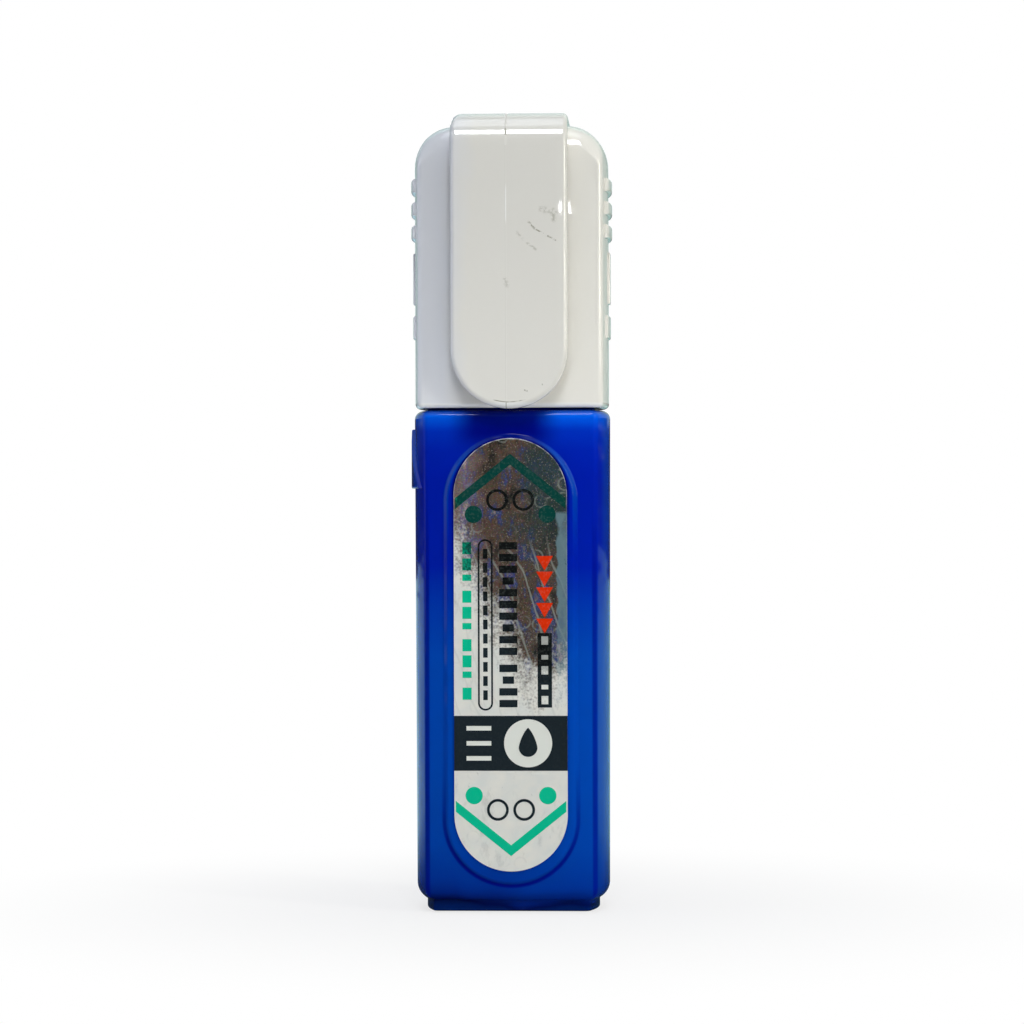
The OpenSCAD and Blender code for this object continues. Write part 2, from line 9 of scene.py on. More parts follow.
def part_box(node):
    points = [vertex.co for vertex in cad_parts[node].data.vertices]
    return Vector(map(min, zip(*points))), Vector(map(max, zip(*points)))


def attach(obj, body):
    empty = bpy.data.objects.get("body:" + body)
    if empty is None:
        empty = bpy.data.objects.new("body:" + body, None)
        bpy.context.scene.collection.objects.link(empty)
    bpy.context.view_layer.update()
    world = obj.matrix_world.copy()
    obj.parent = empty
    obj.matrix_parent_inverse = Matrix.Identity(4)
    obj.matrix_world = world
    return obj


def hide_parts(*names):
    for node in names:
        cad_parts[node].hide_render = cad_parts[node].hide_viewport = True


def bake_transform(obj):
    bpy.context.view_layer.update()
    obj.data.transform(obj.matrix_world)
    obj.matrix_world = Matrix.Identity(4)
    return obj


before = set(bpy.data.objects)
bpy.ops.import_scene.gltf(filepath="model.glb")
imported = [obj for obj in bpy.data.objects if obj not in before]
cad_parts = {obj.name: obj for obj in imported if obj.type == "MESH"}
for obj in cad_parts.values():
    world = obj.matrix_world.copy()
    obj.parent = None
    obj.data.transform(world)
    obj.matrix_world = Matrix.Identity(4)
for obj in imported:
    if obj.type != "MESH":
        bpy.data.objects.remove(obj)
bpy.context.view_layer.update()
mm = 0.001
tiny = 0.001  # millimetres: points closer than this are one
quarterTurn = math.pi / 2


def boxOf(node):
    # lowest and highest corner of a CAD node, in millimetres
    low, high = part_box(node)
    return low / mm, high / mm


bottleLow, bottleHigh = boxOf("bottle")
plugLow, plugHigh = boxOf("base_plug")
labelLow, labelHigh = boxOf("front_label")
nozzleLow, nozzleHigh = boxOf("nozzle")


def only(kind, geom):
    return [g for g in geom if isinstance(g, kind)]


def outline(width, depth, bulge, edge, bulgeSteps=6, edgeSteps=5, flatSteps=8):
    # seen from above: flat front and back, bulged sides, rounded upright edges
    bulgeX = width / 2 - bulge
    edgeY = depth / 2 - edge
    edgeX = bulgeX + math.sqrt((bulge - edge) ** 2 - edgeY ** 2)
    touch = math.atan2(edgeY, edgeX - bulgeX)
    quarter = []
    for i in range(bulgeSteps + 1):
        a = touch * i / bulgeSteps
        quarter.append((bulgeX + bulge * math.cos(a), bulge * math.sin(a)))
    for i in range(1, edgeSteps + 1):
        a = touch + (quarterTurn - touch) * i / edgeSteps
        quarter.append((edgeX + edge * math.cos(a), edgeY + edge * math.sin(a)))
    flat = [(edgeX * (1 - 2 * i / flatSteps), depth / 2) for i in range(1, flatSteps)]
    back = quarter + flat + [(-x, y) for x, y in reversed(quarter)]
    return back + [(-x, -y) for x, y in back[1:-1]]


def circlePoints(radius, count):
    # starts on the right, as the outline does, so that the two can be joined point to point
    angles = [2 * math.pi * i / count for i in range(count)]
    return [(radius * math.cos(a), radius * math.sin(a)) for a in angles]


def startLoop(bm, points, z):
    place = bm.verts.layers.int.new("place")
    verts = [bm.verts.new((x, y, z)) for x, y in points]
    for i, v in enumerate(verts):
        v[place] = i
    return [bm.edges.new(pair) for pair in zip(verts, verts[1:] + verts[:1])]


def growLoops(bm, edges, levels):
    # extrudes the loop and lays its new points on each next outline
    place = bm.verts.layers.int["place"]
    for points, z in levels:
        grown = bmesh.ops.extrude_edge_only(bm, edges=edges)["geom"]
        for v in only(BMVert, grown):
            v.co = (*points[v[place]], z)
        edges = only(BMEdge, grown)
    return edges


def ringEdges(bm, verts):
    verts = set(verts)
    return [e for e in bm.edges if e.verts[0] in verts and e.verts[1] in verts]


def quarterRound(radius, steps):
    # along a quarter of a circle: what is left to its crest, and the way from its start
    angles = [quarterTurn * i / steps for i in range(1, steps + 1)]
    return [(radius * (1 - math.sin(a)), radius * (1 - math.cos(a))) for a in angles]


def roundIn(radius, below, shape=2):
    # how far a rounding comes in at a distance below its crest, less where the shape is above 2
    if below >= radius:
        return 0.0
    return radius * (1 - (1 - (1 - below / radius) ** shape) ** (1 / shape))


def softenEdges(bm, edges, offset, segments):
    bmesh.ops.bevel(bm, geom=edges, offset=offset, offset_type="OFFSET", segments=segments,
                    profile=0.5, affect="EDGES", material=-1)


def extrudeFaces(bm, faces, vec):
    grown = bmesh.ops.extrude_face_region(bm, geom=faces)["geom"]
    bmesh.ops.translate(bm, vec=vec, verts=only(BMVert, grown))
    return grown


def addRod(bm, radius, length, place, segments):
    # a round bar along X
    turn = Matrix.Translation(place) @ Matrix.Rotation(quarterTurn, 4, "Y")
    bmesh.ops.create_cone(bm, cap_ends=True, segments=segments, radius1=radius, radius2=radius,
                          depth=length, matrix=turn)


def finishPiece(name, bm, body, material, replaced=None, sharp=35):
    bmesh.ops.remove_doubles(bm, verts=bm.verts, dist=tiny / 2)
    bmesh.ops.dissolve_degenerate(bm, edges=bm.edges, dist=tiny / 2)
    bmesh.ops.recalc_face_normals(bm, faces=bm.faces)
    bmesh.ops.scale(bm, vec=(mm, mm, mm), verts=bm.verts)
    for f in bm.faces:
        f.smooth = True
    for e in bm.edges:
        if len(e.link_faces) == 2:
            e.smooth = e.calc_face_angle(0) < math.radians(sharp)
    mesh = bpy.data.meshes.new(name)
    bm.to_mesh(mesh)
    bm.free()
    mesh.materials.append(material)
    piece = bpy.data.objects.new(name, mesh)
    bpy.context.collection.objects.link(piece)
    weighted = piece.modifiers.new("weightedNormals", "WEIGHTED_NORMAL")
    weighted.keep_sharp = True
    weighted.weight = 100  # keeps the flats flat
    if body:
        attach(piece, body)
    if replaced:
        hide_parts(replaced)
    return piece


def stadiumLoop(bm, width, height, middle, y, segments):
    # ring with round ends, standing on a face, with its middle at the given height
    turn = Matrix.Rotation(math.pi / segments, 4, "Y") @ Matrix.Rotation(quarterTurn, 4, "X")
    verts = bmesh.ops.create_circle(bm, cap_ends=False, segments=segments, radius=width / 2,
                                    matrix=turn)["verts"]
    reach = (height - width) / 2
    for v in verts:
        v.co.z += middle + (reach if v.co.z > 0 else -reach)
        v.co.y = y
    return ringEdges(bm, verts)


def bendRelief(bm, before, width, shell):
    # slices new relief into strips and lays it round the shell's bulged side
    strips = 12
    geom = [v for v in bm.verts if v not in before]
    geom += [g for g in (*bm.edges, *bm.faces) if g.verts[0] not in before]
    for i in range(1, strips):
        cut = bmesh.ops.bisect_plane(bm, geom=geom, plane_co=(0, width * (i / strips - 0.5), 0),
                                     plane_no=(0, 1, 0))
        geom = cut["geom"]
    for v in only(BMVert, geom):
        side = 1 if v.co.x > 0 else -1
        v.co.x -= side * (shell["bulge"] - math.sqrt(shell["bulge"] ** 2 - v.co.y ** 2))


bottle = {
    "width": 26.4, "depth": 14.4, "bulge": 16.0, "edge": 0.9, "draft": 0.2,
    "low": bottleLow.z, "shoulder": 66.9, "shoulderSide": 1.1, "shoulderFace": 0.9,
    "rimSide": 2.2, "rimFace": 1.6, "rimLand": 0.15,
    "sideWall": 1.5, "faceWall": 1.2, "shoulderWall": 1.4, "innerEdge": 0.5,
    "spigotWidth": 23.3, "spigotDepth": 11.6, "spigotBulge": 32.6, "spigotHeight": 5.0,
    "spigotWall": 1.2, "neckRadius": 5.4, "neckBore": 4.2, "neckTop": bottleHigh.z, "lip": 0.15,
    "spigotEdge": 0.3,
    "beadRadius": 0.6, "beadLength": 9.0, "beadUp": 2.5, "beadSunk": 0.5,
    "panelWidth": 18.1, "panelHeight": 60.4, "panelMiddle": 33.6, "panelRise": 0.5,
    "panelBorder": 0.75,
}


def raisePanel(bm, side):
    # cuts a stadium out of the flat face and raises it with a soft border
    b = bottle
    face = side * b["depth"] / 2
    flat = [f for f in bm.faces if abs(f.normal.y) > 0.99 and f.calc_center_median().y * side > 0
            and all(abs(v.co.y - face) < tiny for v in f.verts)
            and max(v.co.z for v in f.verts) - min(v.co.z for v in f.verts) > 40]
    border = [e for f in flat for e in f.edges if sum(g in flat for g in e.link_faces) == 1]
    bmesh.ops.delete(bm, geom=flat, context="FACES_KEEP_BOUNDARY")
    edges = stadiumLoop(bm, b["panelWidth"], b["panelHeight"], b["panelMiddle"], face, segments=96)
    bmesh.ops.triangle_fill(bm, use_beauty=True, edges=[e for e in border if e.is_valid] + edges,
                            normal=(0, side, 0))
    reach = (b["panelHeight"] - b["panelWidth"]) / 2
    steps = 7
    for i in range(1, steps + 1):
        rise = b["panelRise"] * (0.5 - 0.5 * math.cos(math.pi * i / steps))
        grown = bmesh.ops.extrude_edge_only(bm, edges=edges)["geom"]
        for v in only(BMVert, grown):
            centre = b["panelMiddle"] + (reach if v.co.z > b["panelMiddle"] else -reach)
            out = Vector((v.co.x, 0, v.co.z - centre)).normalized()
            out *= b["panelWidth"] / 2 - b["panelBorder"] * i / steps
            v.co = (out.x, face + side * rise, centre + out.z)
        edges = only(BMEdge, grown)
    bmesh.ops.contextual_create(bm, geom=edges)


def addArrowMark(bm):
    mark = {"tip": 64.5, "height": 8.0, "width": 12.8, "rise": 0.45, "sunk": 0.6, "edge": 0.16}
    x, y, low = -bottle["width"] / 2 + mark["sunk"], mark["width"] / 2, mark["tip"] - mark["height"]
    before = set(bm.verts)
    corners = [(x, 0, mark["tip"]), (x, y, low), (x, -y, low)]
    face = bm.faces.new([bm.verts.new(c) for c in corners])
    outer = x - mark["sunk"] - mark["rise"]
    extrudeFaces(bm, [face], (outer - x, 0, 0))
    rim = [e for e in bm.edges
           if all(v not in before and abs(v.co.x - outer) < tiny for v in e.verts)]
    softenEdges(bm, rim, mark["edge"], 3)
    bendRelief(bm, before, mark["width"], bottle)


def buildBottle(material):
    b = bottle
    low, shoulder, neckTop, lip = b["low"], b["shoulder"], b["neckTop"], b["lip"]
    spigotTop, under = shoulder + b["spigotHeight"], shoulder - b["shoulderWall"]
    sideLand = b["sideWall"] - b["draft"] - b["rimLand"]
    faceLand = b["faceWall"] - b["rimLand"]

    def shell(inX, inY, z):
        lean = b["draft"] * (shoulder - z) / (shoulder - low)
        return outline(b["width"] - 2 * (inX + lean), b["depth"] - 2 * inY, b["bulge"], b["edge"])

    def spigot(inset):
        return outline(b["spigotWidth"] - 2 * inset, b["spigotDepth"] - 2 * inset,
                       b["spigotBulge"], b["innerEdge"])

    bm = bmesh.new()
    start = startLoop(bm, shell(sideLand, faceLand, low), low)
    sideCut, faceCut = roundIn(b["rimSide"], sideLand), roundIn(b["rimFace"], faceLand)
    levels = []
    for _, up in quarterRound(b["rimSide"], 8):
        inX, inY = roundIn(b["rimSide"], up + sideCut), roundIn(b["rimFace"], up + faceCut)
        levels.append((shell(inX, inY, low + up), low + up))
    levels.append((shell(0, 0, shoulder - b["shoulderSide"]), shoulder - b["shoulderSide"]))
    for below, _ in quarterRound(b["shoulderSide"], 8):
        levels.append((shell(roundIn(b["shoulderSide"], below), roundIn(b["shoulderFace"], below),
                             shoulder), shoulder - below))
    edge = b["spigotEdge"]
    levels += [(spigot(0), shoulder), (spigot(0), spigotTop - edge),
               (spigot(edge / 3), spigotTop - edge / 3), (spigot(edge), spigotTop)]
    hole = spigotTop - b["spigotWall"]
    for radius, z in ((b["neckRadius"], spigotTop), (b["neckRadius"], neckTop - lip),
                      (b["neckRadius"] - lip, neckTop), (b["neckBore"], neckTop),
                      (b["neckBore"], hole)):
        levels.append((circlePoints(radius, len(start)), z))
    inner = spigot(b["spigotWall"])
    inside = outline(b["width"] - 2 * b["sideWall"], b["depth"] - 2 * b["faceWall"],
                     b["bulge"] - b["sideWall"], b["innerEdge"])
    levels += [(inner, hole), (inner, under), (inside, under), (inside, low)]
    bmesh.ops.bridge_loops(bm, edges=start + growLoops(bm, start, levels))
    bmesh.ops.recalc_face_normals(bm, faces=bm.faces)
    raisePanel(bm, -1)
    raisePanel(bm, 1)
    addArrowMark(bm)
    for side in (-1, 1):  # snap bead of the spigot
        place = (0, side * (b["spigotDepth"] / 2 - b["beadSunk"]), shoulder + b["beadUp"])
        addRod(bm, b["beadRadius"], b["beadLength"], place, 32)
    finishPiece("bottle_shell", bm, "bottle_body", material, "bottle", sharp=50)


def buildPlug(material):
    plug = {"wall": 1.2, "floor": 1.4, "edge": 0.3, "bulge": 14.45, "corner": 0.5}
    size = plugHigh - plugLow
    edge = plug["edge"]

    def ring(inset):
        return outline(size.x - 2 * inset, size.y - 2 * inset, plug["bulge"], plug["corner"])

    bm = bmesh.new()
    start = startLoop(bm, ring(edge), plugLow.z)
    bmesh.ops.contextual_create(bm, geom=start)
    levels = [(ring(inset), plugLow.z + up) for inset, up in quarterRound(edge, 4)]
    levels += [(ring(0), plugHigh.z), (ring(plug["wall"]), plugHigh.z),
               (ring(plug["wall"]), plug["floor"])]
    bmesh.ops.contextual_create(bm, geom=growLoops(bm, start, levels))
    finishPiece("foot_plug", bm, "bottle_body", material, "base_plug")


cap = {
    "width": 26.1, "depth": 14.4, "bulge": 34.0, "edge": 0.8, "wall": 1.2,
    "mouth": 67.2, "top": 105.2, "ceiling": 103.6,
    "sideRound": 5.7, "faceRound": 4.4, "faceShape": 2.4, "topEdge": 2.75, "edgeGrowth": 2.4,
    "mouthRound": 0.6, "boreEdge": 0.5, "boreEdgeGrowth": 0.25,
    "sleeveRadius": 4.3, "sleeveBore": 3.1, "sleeveLow": 88.5, "boreTop": 97.8, "lip": 0.2,
    "sleeveSunk": 0.5, "ceilingRing": 2.4,
}
grip = {
    "sunk": 0.5, "edge": 0.7,  # the edge is a share of the rise
    # rounded bars on both sides of the cap: height of the middle, height, width, rise
    "bars": [(97.0, 1.8, 10.6, 0.5), (93.9, 1.8, 10.6, 0.5), (90.8, 1.8, 10.6, 0.5),
             (84.75, 6.9, 3.2, 0.28), (78.1, 3.0, 8.6, 0.28)],
}
clip = {
    "width": 15.6, "thick": 1.8, "slot": 1.5, "bend": 4.0, "edge": 0.7, "cornerFall": 1.6,
    "cornerIn": 0.8, "end": 67.0, "top": boxOf("cap")[1].z,
    "root": 2.4, "rootFront": -5.0, "rootLow": 104.4,
    "webLow": 100.05, "webFillet": 0.7, "beadUp": 4.5, "beadRise": 0.8, "beadLength": 9.0,
}
clip["inner"] = -(cap["depth"] / 2 + clip["slot"])
clip["front"] = clip["inner"] - clip["thick"]


def addGrip(bm):
    side = cap["width"] / 2
    for turn in (-1, 1):
        for z, height, width, rise in grip["bars"]:
            before = set(bm.verts)
            place = Matrix.Translation((turn * (side + (rise - grip["sunk"]) / 2), 0, z))
            size = Matrix.Diagonal((rise + grip["sunk"], width, height, 1))
            made = bmesh.ops.create_cube(bm, size=1, matrix=place @ size)["verts"]
            rim = [e for e in ringEdges(bm, made) if all(abs(v.co.x) > side for v in e.verts)]
            softenEdges(bm, rim, grip["edge"] * rise, 4)
            bendRelief(bm, before, width, cap)


def addClip(bm):
    c = clip
    across = c["width"] / 2
    roundZ = c["end"] + across
    bendZ = c["top"] - c["bend"]
    axisY = c["front"] + c["bend"]
    before = set(bm.verts)

    def isNew(item):
        return all(v not in before for v in ([item] if isinstance(item, BMVert) else item.verts))

    def at(item, y=None, z=None):
        # all of the item lies at this y or z
        return isNew(item) and all((y is None or abs(v.co.y - y) < tiny)
                                   and (z is None or abs(v.co.z - z) < tiny) for v in item.verts)

    place = Matrix.Translation((0, c["front"], roundZ)) @ Matrix.Rotation(quarterTurn, 4, "X")
    made = bmesh.ops.create_circle(bm, cap_ends=False, segments=96, radius=across, matrix=place)
    upper = [v for v in made["verts"] if v.co.z > roundZ + 10 * tiny]
    bmesh.ops.delete(bm, geom=upper, context="VERTS")
    ends = [v for v in bm.verts if isNew(v) and abs(v.co.z - roundZ) < 10 * tiny]
    grown = bmesh.ops.extrude_vert_indiv(bm, verts=ends)["verts"]
    for v in grown:
        v.co.z = bendZ
    bm.edges.new(grown)
    face = bmesh.ops.contextual_create(bm, geom=[e for e in bm.edges if isNew(e)])["faces"]
    extrudeFaces(bm, face, (0, c["thick"], 0))
    # web between the strap and the cap, above the slot
    geom = [g for g in (*bm.verts, *bm.edges, *bm.faces) if isNew(g)]
    bmesh.ops.bisect_plane(bm, geom=geom, plane_co=(0, 0, c["webLow"]), plane_no=(0, 0, 1))
    web = [f for f in bm.faces if at(f, y=c["inner"])
           and all(v.co.z > c["webLow"] - tiny for v in f.verts)]
    extrudeFaces(bm, web, (0, axisY - c["inner"], 0))
    bmesh.ops.delete(bm, geom=web, context="FACES_ONLY")
    # bend over the top edge, then the root that lies on the cap's top
    top = [f for f in bm.faces if at(f, z=bendZ)]
    spun = bmesh.ops.spin(bm, geom=top, cent=(0, axisY, bendZ), axis=(1, 0, 0), dvec=(0, 0, 0),
                          angle=-quarterTurn, steps=12, use_merge=False, use_duplicate=False)
    bmesh.ops.delete(bm, geom=[f for f in top if f.is_valid], context="FACES_ONLY")
    last = only(BMFace, spun["geom_last"])
    for y in (c["rootFront"], c["root"]):
        out = bmesh.ops.extrude_face_region(bm, geom=last)["geom"]
        bmesh.ops.delete(bm, geom=[f for f in last if f.is_valid], context="FACES_ONLY")
        last = only(BMFace, out)
        for v in only(BMVert, out):
            v.co.y = y
            v.co.z = max(v.co.z, c["rootLow"])
    bmesh.ops.remove_doubles(bm, verts=[v for v in bm.verts if isNew(v)], dist=tiny)
    bmesh.ops.dissolve_degenerate(bm, edges=[e for e in bm.edges if isNew(e)], dist=tiny)
    bmesh.ops.recalc_face_normals(bm, faces=[f for f in bm.faces if isNew(f)])
    for v in bm.verts:  # the left corner of the bend is moulded rounder
        if isNew(v) and v.co.x < -across + 10 * tiny and v.co.z > c["top"] - c["cornerFall"]:
            v.co.x += c["cornerIn"] * (1 - (c["top"] - v.co.z) / c["cornerFall"]) ** 2

    def onSkin(v):
        if v.co.z <= bendZ + tiny:
            return abs(v.co.y - c["front"]) < tiny
        if v.co.y <= axisY + tiny:
            return abs(math.hypot(v.co.y - axisY, v.co.z - bendZ) - c["bend"]) < 10 * tiny
        return abs(v.co.z - c["top"]) < tiny

    rim = [e for e in bm.edges if isNew(e) and all(onSkin(v) for v in e.verts)
           and len(e.link_faces) == 2 and e.calc_face_angle(0) > math.radians(60)]
    softenEdges(bm, rim, c["edge"], 5)
    softenEdges(bm, [e for e in bm.edges if at(e, y=c["inner"], z=c["webLow"])], c["webFillet"], 5)
    # bead inside the lower end
    addRod(bm, c["beadRise"], c["beadLength"], (0, c["inner"], c["end"] + c["beadUp"]), 24)


def addSleeve(bm):
    # the round tube inside the cap that takes the seal
    c, lip = cap, cap["lip"]
    place = Matrix.Translation((0, 0, c["ceiling"] + c["sleeveSunk"]))
    made = bmesh.ops.create_circle(bm, cap_ends=False, segments=72, radius=c["sleeveRadius"],
                                   matrix=place)["verts"]
    edges = ringEdges(bm, made)
    bmesh.ops.contextual_create(bm, geom=edges)
    outer, inner, low = c["sleeveRadius"], c["sleeveBore"], c["sleeveLow"]
    for radius, z in ((outer, low + lip), (outer - lip, low), (inner + lip, low), (inner, low + lip),
                      (inner, c["boreTop"])):
        grown = bmesh.ops.extrude_edge_only(bm, edges=edges)["geom"]
        for v in only(BMVert, grown):
            v.co = (*(v.co.xy.normalized() * radius), z)
        edges = only(BMEdge, grown)
    bmesh.ops.contextual_create(bm, geom=edges)


def buildCap(material):
    c = cap
    mouth, ceiling = c["mouth"], c["ceiling"]

    def shell(inX, inY, edge=c["edge"]):
        return outline(c["width"] - 2 * inX, c["depth"] - 2 * inY, c["bulge"], edge)

    def bore(inX, inY):
        return outline(c["width"] - 2 * (c["wall"] + inX), c["depth"] - 2 * (c["wall"] + inY),
                       c["bulge"] - c["wall"], c["boreEdge"] + c["boreEdgeGrowth"] * inY)

    bm = bmesh.new()
    start = startLoop(bm, shell(c["mouthRound"], c["mouthRound"]), mouth)
    levels = [(shell(inset, inset), mouth + up) for inset, up in quarterRound(c["mouthRound"], 4)]
    levels.append((shell(0, 0), c["top"] - c["sideRound"]))
    # the top's roundings: wide seen from the front, narrower from the side
    for below, _ in quarterRound(c["sideRound"], 14):
        up = min((c["sideRound"] - below) / c["edgeGrowth"], 1)
        edge = c["edge"] + (c["topEdge"] - c["edge"]) * up * up * (3 - 2 * up)
        levels.append((shell(roundIn(c["sideRound"], below),
                             roundIn(c["faceRound"], below, c["faceShape"]), edge), c["top"] - below))
    bmesh.ops.contextual_create(bm, geom=growLoops(bm, start, levels))
    # the cavity and its ceiling
    side, face = c["sideRound"] - c["wall"], c["faceRound"] - c["wall"]
    levels = [(bore(0, 0), mouth), (bore(0, 0), ceiling - side)]
    for below, _ in quarterRound(side, 8):
        levels.append((bore(roundIn(side, below), roundIn(face, below)), ceiling - below))
    levels.append((circlePoints(c["ceilingRing"], len(start)), ceiling))
    bmesh.ops.contextual_create(bm, geom=growLoops(bm, start, levels))
    addSleeve(bm)
    addGrip(bm)
    addClip(bm)
    finishPiece("cap_shell", bm, "cap_body", material, "cap", sharp=50)


label = {
    "width": labelHigh.x - labelLow.x, "height": labelHigh.z - labelLow.z,
    "middle": (labelHigh.z + labelLow.z) / 2, "back": labelHigh.y, "front": labelLow.y,
    "edge": 0.04, "ink": 0.02,
}
# the print, measured from the label's middle; bars are left, low, right, high
printed = {
    "chevron": {"reach": 7.35, "foot": 19.4, "rise": 5.9, "thick": 1.45},
    "dots": {"across": 4.9, "up": 18.7, "radius": 1.15},
    "rings": {"across": 1.75, "up": 20.6, "radius": 1.45, "line": 0.36},
    "dashes": {"left": -6.4, "right": -5.2, "top": 15.0, "pitch": 2.15, "count": 10,
               "long": 1.6, "short": 0.85},
    "pill": {"middle": -3.35, "width": 2.0, "top": 15.4, "low": -7.4, "line": 0.24,
             "count": 11, "pitch": 1.88, "inset": 1.3, "dash": 1.3, "across": 0.3},
    "rungs": {"left": -1.5, "right": 0.9, "top": 15.0, "pitch": 1.56, "count": 14, "thick": 0.98,
              "gap": 0.7, "inset": 0.45},
    "red": {"across": 4.55, "top": 12.5, "pitch": 2.08, "count": 5, "radius": 1.3},
    "block": (3.6, -7.0, 5.5, 2.9), "windows": {"count": 5, "inset": 0.5, "half": 0.55, "cut": 0.5},
    "band": (-7.55, -15.4, 7.55, -8.1), "disc": {"across": 2.3, "up": -11.75, "radius": 3.2},
    "lines": {"left": -5.9, "right": -2.6, "pitch": 2.0, "half": 0.3},
    "drop": {"radius": 1.25, "down": 0.55, "taper": 0.35, "draw": 1.1},
}


def onLabel(u, w, y):
    # a flat shape drawn in X and Y stands up on the label with its face to the front
    return Matrix.Translation((u, y, label["middle"] + w)) @ Matrix.Rotation(quarterTurn, 4, "X")


def addBar(bm, bar, y):
    left, low, right, high = bar
    size = Matrix.Diagonal(((right - left) / 2, (high - low) / 2, 1, 1))
    bmesh.ops.create_grid(bm, x_segments=1, y_segments=1, size=1,
                          matrix=onLabel((left + right) / 2, (low + high) / 2, y) @ size)


def addDisc(bm, u, w, radius, y, line=0.0, stretch=0.0, segments=48):
    # disc, or a ring where a line width is given, drawn out to a pill by the stretch
    place = onLabel(u, w, y) @ Matrix.Rotation(math.pi / segments, 4, "Z")
    made = bmesh.ops.create_circle(bm, cap_ends=True, segments=segments, radius=radius,
                                   matrix=place)["verts"]
    face = made[0].link_faces[0]
    for v in made:
        v.co.z += stretch / 2 if v.co.z > label["middle"] + w else -stretch / 2
    if line:
        bmesh.ops.inset_region(bm, faces=[face], thickness=line, use_boundary=True,
                               use_even_offset=True)
        bmesh.ops.delete(bm, geom=[face], context="FACES_ONLY")
    return made


def addChevron(bm, turn, y):
    c = printed["chevron"]
    place = onLabel(0, 0, y) @ Matrix.Diagonal((c["reach"], 1, 1, 1))
    for v in bmesh.ops.create_grid(bm, x_segments=2, y_segments=1, size=1, matrix=place)["verts"]:
        outer = (v.co.z > label["middle"]) == (turn > 0)
        up = c["foot"] + c["rise"] * (1 - abs(v.co.x) / c["reach"]) + (c["thick"] if outer else 0)
        v.co.z = label["middle"] + turn * up


def finishPrint(name, bm, material):
    # gives the flat shapes their thickness, towards the front
    extrudeFaces(bm, list(bm.faces), (0, -label["ink"], 0))
    finishPiece(name, bm, "bottle_body", material, sharp=30)


def buildLabel(foilFinish, inks):
    l, p = label, printed
    bm = bmesh.new()
    stadiumLoop(bm, l["width"], l["height"], l["middle"], l["back"], segments=120)
    face = bmesh.ops.contextual_create(bm, geom=list(bm.edges))["faces"]
    extrudeFaces(bm, face, (0, l["front"] - l["back"], 0))
    rim = [e for e in bm.edges if all(abs(v.co.y - l["front"]) < tiny for v in e.verts)]
    softenEdges(bm, rim, l["edge"], 2)
    finishPiece("label_plate", bm, "bottle_body", foilFinish, "front_label", sharp=30)
    teal, black, red, light = (bmesh.new() for i in range(4))
    first, second, third = (l["front"] - i * l["ink"] for i in range(3))  # layers of ink
    dots, rings = p["dots"], p["rings"]
    for turn in (1, -1):
        addChevron(teal, turn, first)
        for side in (1, -1):
            addDisc(teal, side * dots["across"], turn * dots["up"], dots["radius"], first)
            addDisc(black, side * rings["across"], turn * rings["up"], rings["radius"], first,
                    line=rings["line"])
    d = p["dashes"]
    for i in range(d["count"]):
        high = d["top"] - i * d["pitch"]
        length = d["short"] if i % 3 == 2 else d["long"]
        addBar(teal, (d["left"], high - length, d["right"], high), first)
    pill = p["pill"]
    addDisc(black, pill["middle"], (pill["top"] + pill["low"]) / 2, pill["width"] / 2, first,
            line=pill["line"], stretch=pill["top"] - pill["low"] - pill["width"])
    for i in range(pill["count"]):
        high = pill["top"] - pill["inset"] - i * pill["pitch"]
        addBar(black, (pill["middle"] - pill["across"], high - pill["dash"],
                       pill["middle"] + pill["across"], high), first)
    r = p["rungs"]
    for i in range(r["count"]):
        high = r["top"] - i * r["pitch"] - (r["gap"] if i > 9 else 0)
        inset = r["inset"] if i % 4 == 3 else 0
        addBar(black, (r["left"] + inset, high - r["thick"], r["right"] - inset, high), first)
    s = p["red"]
    for i in range(s["count"]):
        addDisc(red, s["across"], s["top"] - i * s["pitch"], s["radius"], first, segments=3)
    addBar(black, p["block"], first)
    addBar(black, p["band"], first)
    left, low, right, high = p["block"]
    w = p["windows"]
    for i in range(w["count"]):
        up = low + (high - low) * (i + 0.5) / w["count"]
        addBar(light, (left + w["inset"], up - w["half"], right - w["inset"],
                       up + w["half"] - w["cut"] * (i % 2)), second)
    disc, lines, drop = p["disc"], p["lines"], p["drop"]
    addDisc(light, disc["across"], disc["up"], disc["radius"], second)
    for i in range(3):
        up = disc["up"] + lines["pitch"] * (1 - i)
        addBar(light, (lines["left"], up - lines["half"], lines["right"], up + lines["half"]), second)
    for name, bm in (("teal", teal), ("black", black), ("red", red), ("light", light)):
        finishPrint("print_" + name, bm, inks[name])
    bm = bmesh.new()
    middle = disc["up"] - drop["down"]
    for v in addDisc(bm, disc["across"], middle, drop["radius"], third):  # drawn out to a drop
        up = v.co.z - (l["middle"] + middle)
        if up > 0:
            narrow = (1 - up / drop["radius"]) ** drop["taper"]
            v.co.x = disc["across"] + (v.co.x - disc["across"]) * narrow
            v.co.z += up * drop["draw"]
    finishPrint("print_drop", bm, inks["black"])


